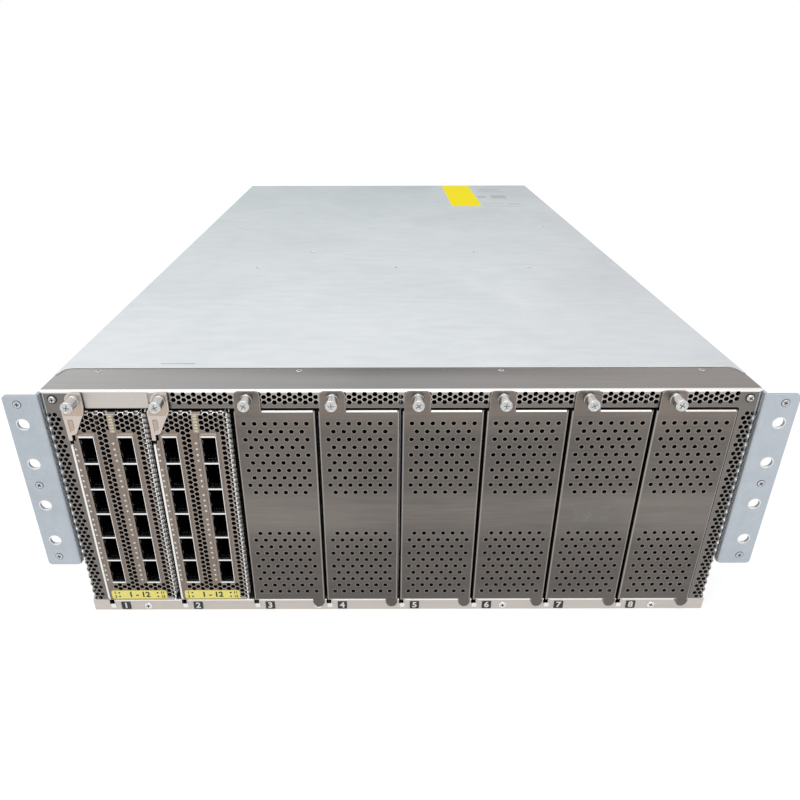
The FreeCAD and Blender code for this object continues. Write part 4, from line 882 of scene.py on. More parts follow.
def surround_part():
    """The raised surround of one port column, from its middle line."""
    left, low, right, top = SURROUND
    slope, face = SURROUND_SLOPE, -SURROUND_RISE
    inner = box_loop(left + slope, low + slope, right - slope, top - slope, 1.0)
    windows = [window(0, z) for z in PORT_HEIGHTS]
    front = moved(cut_sheet(inner, windows, SURROUND_RISE, tones=(0, 0, 1)), y=face)
    outer = [Vector((x, 0, z)) for x, z in box_loop(left, low, right, top, SURROUND_ROUND)]
    count = len(inner)
    ring = outer + [Vector((x, face, z)) for x, z in inner]
    slopes = [(i, (i + 1) % count, (i + 1) % count + count, i + count) for i in range(count)]
    between = [PORT_Z + PORT_PITCH / 2 - port * PORT_PITCH for port in range(7)]
    # The near-white bars between the windows and the strip beside them are painted highlights; the black strip
    # next to it is painted shade.
    bars = [block(-HALF_X, face - 0.08, z - 0.55, HALF_X, face + 0.2, z + 0.55) for z in between]
    lip_highlight = block(HALF_X + 0.15, face - 0.15, low + 2, HALF_X + 0.5, face + 0.1, top - 2)
    groove_shade = block(HALF_X + 0.62, face - 0.05, low + 2, HALF_X + 0.9, face + 0.1, top - 2)
    return [front, (ring, slopes), toned(groove_shade, 2)] + [toned(part, 1) for part in [lip_highlight] + bars]


# A near-white strip down the module's left edge: a painted highlight on its fold.
edge_highlight_strip = toned(block(0.8, -0.3, MODULE_LOW + 1.5, 2.1, 0.1, NOTCH_LOW - 0.6), 1)
for slot in MODULE_SLOTS:
    parts = at_slot(slot, [edge_highlight_strip])
    for column in PORT_COLUMNS.values():
        parts += at_slot(slot, surround_part(), column)
    surround_finishes = ["module", "highlight_and_bright_metal", "black_plastic"]
    make_piece(f"port_surrounds_{slot}", parts, f"line_module_{slot}", surround_finishes)
print("surrounds:", len(PORT_COLUMNS), "a module")

# %% [markdown]
# ## Black sheets behind the honeycomb
# Thin black sheets stand a few millimetres behind the honeycomb bands and the perforated wall: painted shade,
# so that from the front nothing but black shows through the holes.

# %% Black sheets behind the honeycomb
shade_blocks = [block(18.8, 1.9, 12.4, 18.95, 44.0, 160.6), block(43.2, 1.9, 12.4, 43.35, 44.0, 160.6)]
shade_blocks += [block(46.2, 1.8, 12.4, 46.4, 110.0, 160.4)]
for slot in MODULE_SLOTS:
    make_piece(f"shade_sheet_{slot}", at_slot(slot, shade_blocks), f"line_module_{slot}", ["black_plastic"])
print("shade_sheets:", len(shade_blocks), "a module")

# %% [markdown]
# ## Ports and lamps
# Behind each window is a tinned cage with a black connector at its far end and two spring fingers near its
# mouth. The indicators are the ends of clear light pipes: small domes that stand a little proud of the
# sheet. A bank of six amber lamps sits above them.

# %% Port insides
def socket_parts(x, z):
    """One socket's connector with its row of contacts, and the spring fingers at the mouth."""
    connector = block(x - 3.2, 26.0, z - 7.0, x + 2.4, 43.0, z + 7.0)
    contacts = [block(x + 2.4, 24.5, z - 6.2 + i * 1.6, x + 2.7, 43.0, z - 5.5 + i * 1.6) for i in range(8)]
    springs = []
    for way, reach in ((-1, HALF_X - 0.15), (1, HALF_X - 0.3)):
        for place in (-4.5, 4.5):
            finger = cut_sheet(box_loop(0.0, z + place - 1.4, 7.0, z + place + 1.4, 0.4, 2), [], 0.15)
            springs.append(moved(moved(finger, turn=("Z", 90 - way * 8)), x + way * reach, 1.6))
    springs += [block(x - 3.0 + i * 2.2, 3.0, z - 8.6, x - 1.6 + i * 2.2, 12.0, z - 8.2) for i in range(3)]
    return [connector] + [toned(part, 1) for part in contacts] + [toned(part, 2) for part in springs]


for slot in MODULE_SLOTS:
    for letter, column in PORT_COLUMNS.items():
        parts = at_slot(slot, [part for z in PORT_HEIGHTS for part in socket_parts(column, z)])
        name = f"port_contacts_{slot}{letter}"
        make_piece(name, parts, f"line_module_{slot}", ["black_plastic", "gold", "spring"])
print("sockets:", len(MODULE_SLOTS) * len(PORT_COLUMNS) * len(PORT_HEIGHTS))

# %% Indicator domes and lamps
LAMP_COUNT = 6
DOME = [(0, -0.5), (0.4, -0.4), (LED_R, -0.05), (LED_R, 1.2), (0, 1.2)]


def lamp_bank():
    """Six small lamps in the moulding at the light pipe's end, and the strip of sheet over it."""
    pitch = (LAMP_TOP - LAMP_LOW) / LAMP_COUNT
    body = block(LAMP_LEFT + 0.1, -0.15, LAMP_LOW + 0.1, LAMP_RIGHT - 0.1, 2.6, LAMP_TOP - 0.1)
    lamps = []
    for i in range(LAMP_COUNT):
        z = LAMP_LOW + (i + 0.5) * pitch
        lens = cut_sheet(box_loop(LAMP_LEFT + 0.5, z - 0.62, LAMP_RIGHT - 0.5, z + 0.62, 0.25, 2), [], 0.5)
        lamps.append(moved(toned(lens, 1), y=-0.5))
    fold = ("z", MODULE_TOP - MODULE_BEND, 1, 20, 40)
    strip = cut_sheet(box_loop(27.0, 160.65, 32.2, 163.6), [], 0.15, [fold], MODULE_BEND)
    return [body, moved(toned(strip, 2), 0, -0.03, 0.03)] + lamps


domes = [moved(spun(DOME, 10), x, 0.1, z) for x, z in led_places()]
lamp_finishes = ["lamp", "amber", "module"]
for slot in MODULE_SLOTS:
    body = f"line_module_{slot}"
    make_piece(f"indicators_{slot}", at_slot(slot, domes), body, ["clear_lens"])
    make_piece(f"lamp_bank_{slot}", at_slot(slot, lamp_bank()), body, lamp_finishes, [f"light_pipe_{slot}"])
print("indicators:", len(led_places()), "a module")

# %% [markdown]
# ## Ejectors
# The ejector is a flat lever with a folded web: its head is held by the thumb screw, its narrow foot turns
# on the pin and levers the module out. Below a crease it leans in towards the face, which is why it catches
# the light differently from its head.

# %% Ejectors
LEVER_FACE, LEVER_SHEET, CREASE_Z, LEAN_IN = -1.6, 1.5, 159.0, 0.045
HEAD_ARC = [(8.6, 176.0), (6.6, 175.4), (5.1, 174.0), (4.2, 172.0), (3.9, 169.8), (2.6, 166.4)]


def lever_part():
    """The lever's plate."""
    outline = [(0.9, 143.6), (1.5, 142.6), (2.6, 142.4), (3.15, 143.2), (3.15, 146.4), (6.4, 147.3)]
    outline += [(13.9, 162.6), (14.4, 165.0), (14.4, 174.4), (13.7, 175.6), (12.4, 176.0)] + HEAD_ARC
    outline += [(0.6, 163.0), (0.6, 159.0), (0.9, 150.0)]
    crease = ("z", CREASE_Z, -1, -20, -10)
    return cut_sheet(outline, [screw_hole()], LEVER_SHEET, [crease])


def leaning(part):
    """A part with the face below the crease leaning in."""
    for point in part[0]:
        if point.z < CREASE_Z and point.y < LEVER_SHEET / 2:
            point.y += (CREASE_Z - point.z) * LEAN_IN
    return part


def pressed_rib():
    """The long rib pressed out of the plate to stiffen it: two thin ridges closed at the top in a dark tone,
    painted shade, round a field in the head's tan, a painted reflection.
    """
    bars = [(3.0, 148.6, 3.5, 157.7), (5.9, 151.0, 6.25, 157.7), (3.0, 157.3, 6.25, 157.7)]
    shade_ridges = [toned(block(left, -0.15, low, right, 0.3, top), 2) for left, low, right, top in bars]
    field = toned(block(3.5, -0.05, 149.6, 5.9, 0.3, 157.3), 1)
    return [leaning(part) for part in shade_ridges + [field]]


def head_pad():
    """The thicker pad that the thumb screw presses on, in the head's tan tone: a painted warm reflection."""
    outline = [(1.4, 160.4), (12.2, 160.4), (13.6, 163.0), (13.7, 174.2), (12.2, 175.3)]
    outline += [(x + 0.7, z - 0.6) for x, z in HEAD_ARC] + [(1.4, 163.2)]
    return moved(toned(cut_sheet(outline, [screw_hole()], 0.5), 1), y=-0.4)


def lever_parts():
    """Plate, pad, folded web and hub."""
    web = cut_sheet([(-0.85, 142.6), (2.5, 142.3), (4.0, 146.0), (-0.85, 158.0)], [], 1.6)
    web = moved(web, 2.2, 1.6, 0, ("Z", 90))
    hub = spun([(1.06, 0), (2.2, 0), (2.2, 2.4), (1.06, 2.4), (1.06, 0)], 24)
    return [leaning(lever_part()), head_pad(), web, moved(hub, 3.0, 4.1, PIVOT_Z, ("Z", 90))] + pressed_rib()


# The head tone is a painted warm reflection; the dark pan tone on the rib's ridges is painted shade.
lever_finishes = ["lever", "lever_head", "pan"]
for slot in MODULE_SLOTS:
    parts, name = at_slot(slot, lever_parts(), y=LEVER_FACE), f"ejector_lever_{slot}"
    make_piece(f"ejector_{slot}", parts, BODY_OF[name], lever_finishes, [name], bevel=0.18)
print("ejectors:", len(MODULE_SLOTS))

# %% [markdown]
# ## Screws
# A thumb screw has a long nickel head that fingers can turn: a knurled barrel between two plain bands, a
# raised rim and a cross recess for a driver. The small screws round the case are the same idea in flat. The
# recess is a real hole: the top plate is cut with a cross, over a floor mostly painted dark as shade.

# %% Screw parts
HEAD_R, HEAD_LONG, SHANK_R, SHANK_LONG = 3.75, 11.5, 2.0, 7.6


def recessed_top(radius, arm, half, thick):
    """A round plate with a cross cut through it."""
    return cut_sheet(round_loop(0, 0, radius, 28), [cross_loop(arm, half)], thick)


def small_screw(radius, tall):
    """A flat screw head with a cross recess; its underside is at depth zero."""
    inner, floor = radius * 0.8, -tall * 0.45
    skirt = spun([(inner, floor), (inner, -tall), (radius, -tall * 0.55), (radius, 0), (0, 0)], 28)
    # The pit under the cross takes the second tone, dark: painted shade in the recess.
    pit = toned(spun([(0, floor), (inner, floor)], 28), 1)
    return [skirt, pit, moved(recessed_top(inner, radius * 0.6, radius * 0.16, -floor), y=-tall)]


def ringed_screw(radius, tall, ring):
    """A small screw in a dark countersunk ring, painted shade round its head."""
    return small_screw(radius, tall) + [toned(spun([(0, -0.06), (ring, -0.06), (ring, 0.1)], 28), 1)]


def knurled(radius, start, end, flutes=36, depth=0.05):
    """A barrel with fine straight flutes."""
    reaches = [(math.pi * i / flutes, radius if i % 2 else radius - depth) for i in range(flutes * 2)]
    loop = [(reach * math.cos(angle), reach * math.sin(angle)) for angle, reach in reaches]
    return moved(cut_sheet(loop, [], end - start), y=start)


def thumb_screw():
    """Head, knurled barrel, shank and recess, from the panel's face."""
    rim = [(0, 1.0), (2.75, 1.0), (2.75, 0.15), (2.9, 0), (3.45, 0), (HEAD_R, 0.35), (HEAD_R, 1.6)]
    rim = moved(spun(rim + [(3.5, 1.9), (3.5, 2.2), (0, 2.2)], 36), y=-HEAD_LONG)
    foot = [(0, -3.4), (3.5, -3.4), (3.5, -3.0), (HEAD_R, -2.7), (HEAD_R, -0.4), (3.5, -0.1), (0, -0.1)]
    shank = [(0, -0.2), (SHANK_R, -0.2), (SHANK_R, SHANK_LONG - 0.8), (1.3, SHANK_LONG), (0, SHANK_LONG)]
    face = moved(recessed_top(2.75, 1.9, 0.36, 0.8), y=0.2 - HEAD_LONG)
    # The recess floor takes the dark spring tone: painted shade.
    floor = moved(toned(spun([(0, 0.95), (2.7, 0.95), (2.7, 1.1)], 24), 1), y=-HEAD_LONG)
    return [rim, knurled(3.62, 2.2 - HEAD_LONG, -3.4), spun(foot, 36), spun(shank, 20), face, floor]


SCREW_TURNS = [12, 71, 34, 88, 50, 5, 63, 27]
for slot in SLOTS:
    name = f"thumb_screw_{slot}"
    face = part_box(name)[0].y / MM + HEAD_LONG - FRONT_MM
    parts = [moved(part, turn=("Y", SCREW_TURNS[slot - 1])) for part in thumb_screw()]
    parts = at_slot(slot, parts, SCREW_X, face, SCREW_Z)
    make_piece(f"captive_screw_{slot}", parts, BODY_OF[name], ["nickel", "spring"], [name])
print("thumb screws:", len(SCREW_TURNS))

# %% Case screws and rivets
FACING = {"front": None, "up": ("X", -90), "left": ("Z", -90), "right": ("Z", 90), "back": ("Z", 180)}
SCREW_STEP = 37


def group(name, places, make, body, finish):
    """One node of small fasteners at (x, y behind the front plane, z, facing), each turned further."""
    parts = []
    for i, (x, y, z, facing) in enumerate(places):
        own_turn = ("Y", SCREW_STEP * i % 90)
        parts += [moved(moved(part, turn=own_turn), x, FRONT_MM + y, z, FACING[facing]) for part in make()]
    # The second finish, black, paints the shade in recesses and round heads.
    make_piece(name, parts, body, [finish, "black_plastic"])
    print(name, len(places))


def flush_rivet():
    """A rivet hammered flush: a bright disc, a painted highlight, in a thin dark ring set to one side, a painted
    shade.
    """
    disc = spun([(0, -0.01), (2.0, -0.01), (2.0, 0.05), (0, 0.05)], 20)
    ring = spun([(0, -0.005), (2.4, -0.005), (2.4, 0.05), (0, 0.05)], 20)
    return [disc, moved(toned(ring, 1), 0.5, 0, -0.5)]


COVER_Z, EAR_FACE = 176.7, -2.0
corners = [(x, FRAME_Y, 170.3, "front") for x in (-212.7, 212.7)]
group("front_screws", corners, lambda: ringed_screw(2.3, 1.2, 3.1), "chassis", "nickel")
on_cap = [(x, 30.0, CAP_Z, "up") for x in (-194, -65, 65, 194)]
group("cap_screws", on_cap, lambda: small_screw(1.9, 0.45), "chassis", "nickel")
on_ears = [(x, EAR_FACE, z, "front") for x in (-232.9, 232.9) for z in (168.6, 110.3, 52.1)]
group("ear_screws", on_ears, lambda: ringed_screw(2.3, 0.45, 2.65), "chassis", "zinc_screw")
rivets = [(0, 275), (130, 275), (-130, 275), (83, 336), (-83, 336), (181, 457), (-181, 457)]
rivets += [(83, 515), (-83, 515), (-65, 745)]
group("cover_rivets", [(x, y, COVER_Z, "up") for x, y in rivets], flush_rivet, "chassis", "highlight_and_bright_metal")
on_rail = [(x, FRAME_Y, 4.0, "front") for x in (-180.6, -58, 75, 182)]
group("rail_screws", on_rail, lambda: small_screw(2.6, 0.8), "chassis", "highlight_and_bright_metal")

# %% Hole rims, painted highlights and shadow, and old marks
def rim(radius, wide, proud):
    """A rolled rim round a hole."""
    outer = radius + wide
    return spun([(radius, 1.0), (radius, -proud), (radius + wide * 0.5, -proud), (outer, 0.0)], 28)


EAR_HOLE_R, EAR_HOLE_X, EAR_HOLES = 3.55, 232.55, (65.9, 94.45, 126.2, 154.75)
holes = [(x, z) for x in (-EAR_HOLE_X, EAR_HOLE_X) for z in EAR_HOLES]
# Near-white rims: a painted highlight round the ear holes.
rims = [moved(rim(EAR_HOLE_R, 0.55, 0.12), x, FRONT_MM + EAR_FACE, z) for x, z in holes]
make_piece("ear_hole_rims", rims, "chassis", ["highlight_and_bright_metal"])
# A near-white rolled strip on the rail's top: a painted highlight.
rolled = [(1.3, 8.7), (3.2, 8.7), (3.2, 9.74), (2.1, 9.74), (1.62, 9.5), (1.36, 9.15)]
edge = cut_sheet(rolled, [], 47.4)
edges = [part for slot in SLOTS for part in at_slot(slot, [moved(edge, turn=("Z", 90))], 52.1)]
make_piece("rail_top_edge", edges, "chassis", ["highlight_and_bright_metal"], smooth=50)
# A near-white strip along the cover's front edge: a painted highlight.
line = block(-211.5, 34.3, 176.05, 211.5, 35.3, 176.705)
# A thin black strip along the cover's front edge: painted shadow.
edge_shadow = block(-157, 40.7, 176.6, -134.5, 41.2, 176.71)
make_piece("cover_front_edge_highlight", [moved(line, y=FRONT_MM)], "chassis", ["highlight_and_bright_metal"])
make_piece("cover_edge_shadow", [moved(edge_shadow, y=FRONT_MM)], "chassis", ["black_print"])
mark = cut_sheet(box_loop(11, 79.0, 35, 92.0, 0.8), [], 0.1)
make_piece("old_label_mark", at_slot(7, [mark], y=-0.03), "blank_7", ["residue"])
print("rims:", len(rims))

# %% [markdown]
# ## Cover label
# The back of the cover carries a plain label: a yellow field and a few grey bars. Print is modelled as thin
# shapes in its own finish, because a shape stays sharp from any distance and needs no image.

# %% Cover label
def flat_print(left, near, right, far, number):
    """A printed rectangle on the cover, by its place behind the front plane."""
    return toned(moved(block(left, near, COVER_Z - 0.2, right, far, COVER_Z + 0.01), y=FRONT_MM), number)


bars = [(128.5, 583, 186, 585.5), (128.5, 600, 160, 603), (165, 598, 184, 604), (130, 650, 142, 668)]
bars += [(150, 645, 172, 672), (137, 700, 178, 705), (140, 718, 172, 726), (20, 738, 70, 742)]
label = [flat_print(86, 587, 127.5, 758, 0)] + [flat_print(*bar, 1) for bar in bars]
make_piece("cover_label", label, "chassis", ["strong_yellow", "grey_print"])
print("label bars:", len(bars))

# %% [markdown]
# ## Rail labels
# Each slot has its number on the bottom rail: a black square with a white figure. The figure is a text
# object turned into a mesh, so that it exports as plain geometry, and laid a hair in front of its label.
# Beside it, a small lug shows in the rail's notch.

# %% Slot numbers
LABEL_X, LABEL_Z, LABEL_SIDE = 11.4, 4.05, 6.7


def figure(text, size, name, bold):
    """A text as points and faces facing front, centred on zero; bold is how far its outline grows."""
    curve = bpy.data.curves.new(name, "FONT")
    curve.body, curve.size, curve.extrude, curve.offset = text, size, 0.04, bold
    curve.align_x, curve.align_y = "CENTER", "CENTER"
    holder = new_object(name, curve)
    bpy.context.view_layer.update()
    mesh = bpy.data.meshes.new_from_object(holder)
    points = [Vector((v.co.x, -v.co.z, v.co.y)) for v in mesh.vertices]
    faces = [tuple(p.vertices) for p in mesh.polygons]
    bpy.data.objects.remove(holder)
    bpy.data.meshes.remove(mesh)
    return points, faces


plate = cut_sheet(box_loop(-LABEL_SIDE / 2, -3.3, LABEL_SIDE / 2, 3.3, 0.5, 3), [], 0.25)
for slot in SLOTS:
    number = toned(moved(figure(str(slot), 6.9, f"number_{slot}", 0.22), y=-0.05), 1)
    parts = at_slot(slot, [plate, number], LABEL_X, FRAME_Y - 0.25, LABEL_Z)
    make_piece(f"slot_number_{slot}", parts, "chassis", ["black_print", "white_print"])
lug = cut_sheet(box_loop(0.7, 2.5, 4.3, 6.1, 0.9, 3), [], 0.6)
lugs = [part for slot in SLOTS for part in at_slot(slot, [lug], y=FRAME_Y - 0.6)]
make_piece("rail_lugs", lugs, "chassis", ["highlight_and_bright_metal"], bevel=0.15)
print("numbers and lugs:", len(lugs))

# %% Module labels
def spot(x, z, radius):
    """A printed spot."""
    return toned(moved(spun([(0, -0.06), (radius, -0.06), (radius, 0.05)], 10), x, 0, z), 1)


PRINTS = [("1 - 12", 6.4, 0.2, 23.4, 15.7), ("1", 3.0, 0.1, 6.4, 17.6), ("2", 3.0, 0.1, 6.4, 14.0)]
PRINTS += [("11", 3.0, 0.1, 40.0, 17.6), ("12", 3.0, 0.1, 40.0, 14.0)]
parts = [cut_sheet(box_loop(3.8, 11.9, 42.9, 19.6, 1.6, 4), [], 0.12)]
for word, size, bold, x, z in PRINTS:
    parts.append(toned(moved(figure(word, size, "print", bold), x, -0.05, z), 1))
parts += [spot(x, z, 0.7) for x in (9.2, 36.4) for z in (14.1, 17.5)]
for slot in MODULE_SLOTS:
    label_parts, label_finishes = at_slot(slot, parts, y=-0.12), ["yellow_print", "black_print"]
    make_piece(f"module_label_{slot}", label_parts, f"line_module_{slot}", label_finishes)
print("module labels:", len(MODULE_SLOTS))

# %% [markdown]
# ## Fan trays
# Four hot-swap fan trays fill the upper rear. Each fan has a wire guard: rings on the tray's cross bars,
# made by spinning a small circle. Four screws hold the fan to its tray, and a status lamp and a plain
# number tell the trays apart. Parts that face the back are made facing the front, then turned half round.

# %% Rear helpers
def at_back(part, x, y, z):
    """A part turned to face the back, by its place behind the front plane."""
    return moved(part, x, FRONT_MM + y, z, ("Z", 180))


def wire_ring(radius, thick):
    """A ring of round wire."""
    circle = [(radius + x, z) for x, z in round_loop(0, 0, thick, 8)]
    return spun(circle + circle[:1], 48)


def pan_head(radius, tall):
    """A domed screw head with a cross recess, its underside at depth zero."""
    inner, floor = radius * 0.75, -tall * 0.4
    skirt = spun([(inner, floor), (inner, -tall), (radius, floor), (radius, 0.1)], 24)
    # The pit under the cross takes the second tone, dark: painted shade in the recess.
    pit = toned(spun([(0, floor), (inner, floor)], 24), 1)
    return [skirt, pit, moved(recessed_top(inner, radius * 0.55, radius * 0.13, tall * 0.5), y=-tall)]


# %% Fan guards
TRAY_FACE, FAN_Z, FAN_X = 763.5, 110.0, (-160.5, -53.5, 53.5, 160.5)
GUARD_RINGS, GUARD_WIRE = (10.0, 19.5, 29.0, 38.5, 47.6), 0.6


def fan_face(number):
    """The guard, screws, lamp and number of one fan tray, from the fan's axis."""
    parts = [moved(wire_ring(radius, GUARD_WIRE), y=-GUARD_WIRE) for radius in GUARD_RINGS]
    parts += [moved(part, x, 0, z) for x in (-45.5, 45.5) for z in (-46, 46) for part in pan_head(3.0, 1.6)]
    lamp = toned(moved(spun([(0, -0.9), (1.0, -0.7), (1.5, 0.0), (0, 0.0)], 16), -22, 0, 54.5), 2)
    mark = toned(moved(figure(number, 6.0, "fan_number", 0.15), -30, -0.06, 54.3), 1)
    return parts + [lamp, mark]


for fan, x in enumerate(FAN_X, 1):
    parts = [at_back(part, x, TRAY_FACE, FAN_Z) for part in fan_face(str(fan))]
    make_piece(f"fan_guard_{fan}", parts, BODY_OF[f"fan_tray_{fan}"], ["nickel", "black_print", "green_lens"])
print("guards:", len(FAN_X), "with", len(GUARD_RINGS), "rings each")

# %% [markdown]
# ## Power supplies
# Each supply breathes through its face, so a punched plate covers it, with a window for the mains inlet; black
# blocks behind the plate paint the shade seen through its holes. The inlet has three flat pins in a black
# shroud.
# A release latch, two status lamps and a plain number finish it.

# %% Supply faces
SUPPLIES, SUPPLY_FACE, SUPPLY_FIRST, SUPPLY_PITCH, SUPPLY_LOW = range(1, 7), 762.0, -187.0, 55.0, 3.4
VENT_STEP, VENT_ROW = 3.5, 3.03


def vent_plate(left, low, right, top, windows):
    """A punched plate: hexagonal holes in staggered rows, clear of its windows."""
    holes = [box_loop(*window, 1.0, 3) for window in windows]
    for row in range(int((top - low - 3.2) / VENT_ROW) + 1):
        z = low + 2.4 + row * VENT_ROW
        for column in range(int((right - left - 3.6) / VENT_STEP) + 1):
            x = left + 2.3 + column * VENT_STEP + (VENT_STEP / 2 if row % 2 else 0)
            clear = all(not (w[0] - 2 < x < w[2] + 2 and w[1] - 2 < z < w[3] + 2) for w in windows)
            if clear and x < right - 1.9:
                holes.append(hexagon(x, z, 2.6, HEX_UP))
    return cut_sheet(box_loop(left, low, right, top, 1.0), holes, 0.5)


def inlet_parts(x, z):
    """A shroud and three flat pins, in the inlet's opening."""
    mouth = box_loop(-9.5, -6.0, 9.5, 6.0, 2.0)
    shroud = toned(cut_sheet(box_loop(-12.6, -9.0, 12.6, 9.0, 2.5), [mouth], 14.0), 1)
    back = toned(block(-9.6, 13.0, -6.1, 9.6, 13.8, 6.1), 1)
    places = [(-6.2, -1.4), (0, 1.6), (6.2, -1.4)]
    pins = [toned(block(px - 1.0, 3.0, pz - 2.0, px + 1.0, 13.2, pz + 2.0), 2) for px, pz in places]
    return [moved(part, x, 0, z) for part in [shroud, back] + pins]


def supply_face(number):
    """Everything on one supply's face, from its middle and low edge; x grows to the viewer's right."""
    plate = moved(vent_plate(-13.6, 1.8, 26.6, 38.6, [(-4.6, 9.6, 23.6, 30.4)]), y=-0.5)
    # Black blocks behind the plate: painted shade seen through its holes.
    dark = [(-13.4, 2.0, -4.8, 38.4), (-4.9, 30.5, 26.4, 38.4), (-4.9, 2.0, 26.4, 9.5)]
    dark = [toned(block(left, -0.04, low, right, 0.02, top), 1) for left, low, right, top in dark]
    latch = toned(moved(cut_sheet(box_loop(-26.0, 3.0, -21.4, 15.0, 1.2), [], 7.0), y=-7.0), 3)
    mark = toned(moved(figure(number, 5.0, "supply_number", 0.12), -17.6, -0.06, 34.6), 1)
    lens = toned(spun([(0, -0.8), (0.9, -0.6), (1.3, 0.1), (0, 0.1)], 14), 4)
    lamps = [moved(lens, -17.6, 0, z) for z in (4.6, 8.8)]
    return [plate, *dark, latch, mark, *lamps] + inlet_parts(9.45, 20.0)


supply_finishes = ["hole_highlight_and_vent_plate", "black_plastic", "nickel", "latch", "green_lens"]
for supply in SUPPLIES:
    x = SUPPLY_FIRST + (supply - 1) * SUPPLY_PITCH
    parts = [at_back(part, x, SUPPLY_FACE, SUPPLY_LOW) for part in supply_face(str(supply))]
    make_piece(f"supply_face_{supply}", parts, BODY_OF[f"power_supply_{supply}"], supply_finishes)
print("supply faces:", len(SUPPLIES))

# %% [markdown]
# ## Management panel
# The two network sockets get their eight gold contacts and a bright shell; lamps, a serial socket and four
# screws fill the rest of the panel.

# %% Management panel
PANEL_FACE, SOCKET_X, SOCKET_Z = 763.2, (143.8, 167.8), 21.4


def network_socket():
    """Shell round the mouth and contacts inside, from the mouth's middle."""
    mouth = box_loop(-6.0, -6.0, 6.0, 6.0, 0.2, 2)
    shell = moved(cut_sheet(box_loop(-7.2, -7.2, 7.2, 7.4, 0.8, 3), [mouth], 0.9), y=-0.9)
    wires = [block(-4.0 + i * 1.02, 1.5, 2.6, -3.6 + i * 1.02, 11.0, 3.1) for i in range(8)]
    lamps = [block(x - 1.3, -0.95, 8.2, x + 1.3, 0.05, 9.8) for x in (-4.2, 4.2)]
    return [shell] + [toned(wire_part, 1) for wire_part in wires] + [toned(lamp, 2) for lamp in lamps]


def serial_socket():
    """A nine-pin shell with its pins and two hexagonal posts."""
    loop = [(-8.6, 4.2), (-7.6, -4.2), (7.6, -4.2), (8.6, 4.2)]
    shell = moved(cut_sheet(loop, [[(x * 0.93, z * 0.84) for x, z in loop]], 4.0), y=-4.0)
    bed = toned(block(-7.2, -1.0, -3.4, 7.2, 0.0, 3.4), 3)
    pin = toned(spun([(0, -3.2), (0.5, -3.0), (0.5, -0.9)], 8), 1)
    places = [(-5.5 + i * 2.75, 1.4) for i in range(5)] + [(-4.1 + i * 2.75, -1.4) for i in range(4)]
    posts = [moved(cut_sheet(hexagon(x, 0, 4.6, HEX_UP), [], 4.6), y=-4.6) for x in (-12.5, 12.5)]
    return [shell, bed] + [moved(pin, x, 0, z) for x, z in places] + posts


parts = [at_back(part, x, PANEL_FACE, SOCKET_Z) for x in SOCKET_X for part in network_socket()]
parts += [at_back(part, 195.0, PANEL_FACE, SOCKET_Z) for part in serial_socket()]
lamp = toned(spun([(0, -0.7), (0.8, -0.5), (1.1, 0.05), (0, 0.05)], 14), 2)
parts += [at_back(lamp, 132.0 + i * 5.0, PANEL_FACE, 37.5) for i in range(5)]
head = [toned(part, 0) for part in pan_head(2.4, 1.3)]
parts += [at_back(part, x, PANEL_FACE, z) for x in (123.8, 211.5) for z in (7.4, 39.4) for part in head]
make_piece("management_fittings", parts, "chassis", ["nickel", "gold", "green_lens", "black_plastic"])
print("management fittings:", len(parts), "parts")

# %% [markdown]
# ## Case fasteners
# The shell is held by rows of rivets along its sides, the ears by screws into the shell, and the rear frame
# by rivets down its edges. They are small, but without them a side view is a blank sheet.

# %% Case fasteners
def domed_rivet():
    """A rivet with a shallow domed head."""
    return [spun([(0, -0.28), (0.9, -0.22), (1.5, -0.06), (1.6, 0.0), (0, 0.0)], 20)]


SIDE_X, EAR_LEG_X, REAR_FACE = 219.5, 221.5, 762.0
SIDES = [(-1, "left"), (1, "right")]
on_sides = [(way * SIDE_X, y, z, side) for way, side in SIDES for z in (14, 160) for y in range(90, 760, 95)]
group("side_rivets", on_sides, domed_rivet, "chassis", "zinc_screw")
on_legs = [(way * EAR_LEG_X, y, z, side) for way, side in SIDES for z in (62, 110, 158) for y in (18, 46)]
group("ear_leg_screws", on_legs, lambda: pan_head(3.0, 1.4), "chassis", "zinc_screw")
on_back = [(x, REAR_FACE, z, "back") for x in (-216.2, 216.2) for z in (30, 100, 168)]
group("rear_frame_rivets", on_back, domed_rivet, "chassis", "zinc_screw")

# %% [markdown]
# ## Stage and light
# The object stands on a plain white floor in soft light. The floor is partly its own light for the camera
# and for reflections, which makes it white, and partly diffuse, which lets the object's shadow show. A
# broad overhead panel, a front panel and an even world light the object at a plain level.

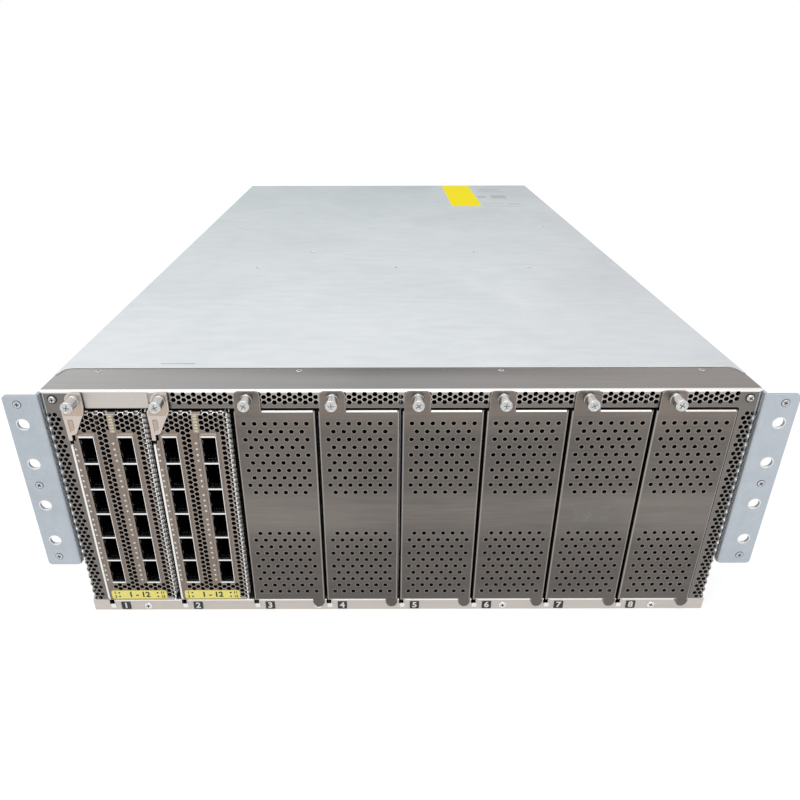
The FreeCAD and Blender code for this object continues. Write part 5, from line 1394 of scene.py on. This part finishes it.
# %% Floor
FLOOR_TONE, FLOOR_GLOW, FLOOR_REACH = (0.50, 0.50, 0.50, 1), 0.62, 12.0


def make_floor():
    """A large white floor that keeps the shadow."""
    material = bpy.data.materials.new("white floor")
    material.use_nodes = True
    tree = material.node_tree
    tree.nodes.remove(tree.nodes["Principled BSDF"])
    glow = calculate(tree, "MULTIPLY", seen_directly(tree), FLOOR_GLOW)
    lit = add_node(tree, "ShaderNodeBsdfDiffuse", None, Color=FLOOR_TONE)
    own = add_node(tree, "ShaderNodeEmission", None, Strength=glow)
    both = add_node(tree, "ShaderNodeAddShader", None, _0=lit.outputs[0], _1=own.outputs[0])
    tree.links.new(both.outputs[0], tree.nodes["Material Output"].inputs[0])
    mesh = bpy.data.meshes.new("floor")
    corners = [(x, y, 0) for x, y in box_loop(-FLOOR_REACH, -FLOOR_REACH, FLOOR_REACH, FLOOR_REACH)]
    mesh.from_pydata(corners, [], [(0, 1, 2, 3)])
    mesh.materials.append(material)
    new_object("floor", mesh)


make_floor()


# %% World and lamps
AMBIENT = 0.78


def make_world():
    """Even light, white where the camera or a reflection sees it."""
    world = bpy.data.worlds.new("studio")
    world.use_nodes = True
    bpy.context.scene.world = world
    tree = world.node_tree
    background = tree.nodes["Background"]
    background.inputs["Color"].default_value = (1.0, 1.0, 1.0, 1)
    strength = spread(tree, seen_directly(tree), 0.0, 1.0, AMBIENT, 1.0)
    tree.links.new(strength, background.inputs["Strength"])


def add_panel(name, place, aim, wide, tall, watts):
    """A rectangular soft light that faces a point."""
    data = bpy.data.lights.new(name, "AREA")
    data.shape, data.size, data.size_y, data.energy = "RECTANGLE", wide, tall, watts
    lamp = new_object(name, data)
    lamp.location = place
    lamp.rotation_euler = (Vector(aim) - Vector(place)).to_track_quat("-Z", "Y").to_euler()


make_world()
add_panel("overhead", (-0.4, -0.9, 2.1), (0, -0.2, 0.1), 2.6, 1.6, 15)
add_panel("front", (0.3, -2.6, 1.5), (0, -0.38, 0.1), 2.0, 1.0, 9)
view = bpy.context.scene.view_settings
view.view_transform = "Standard"
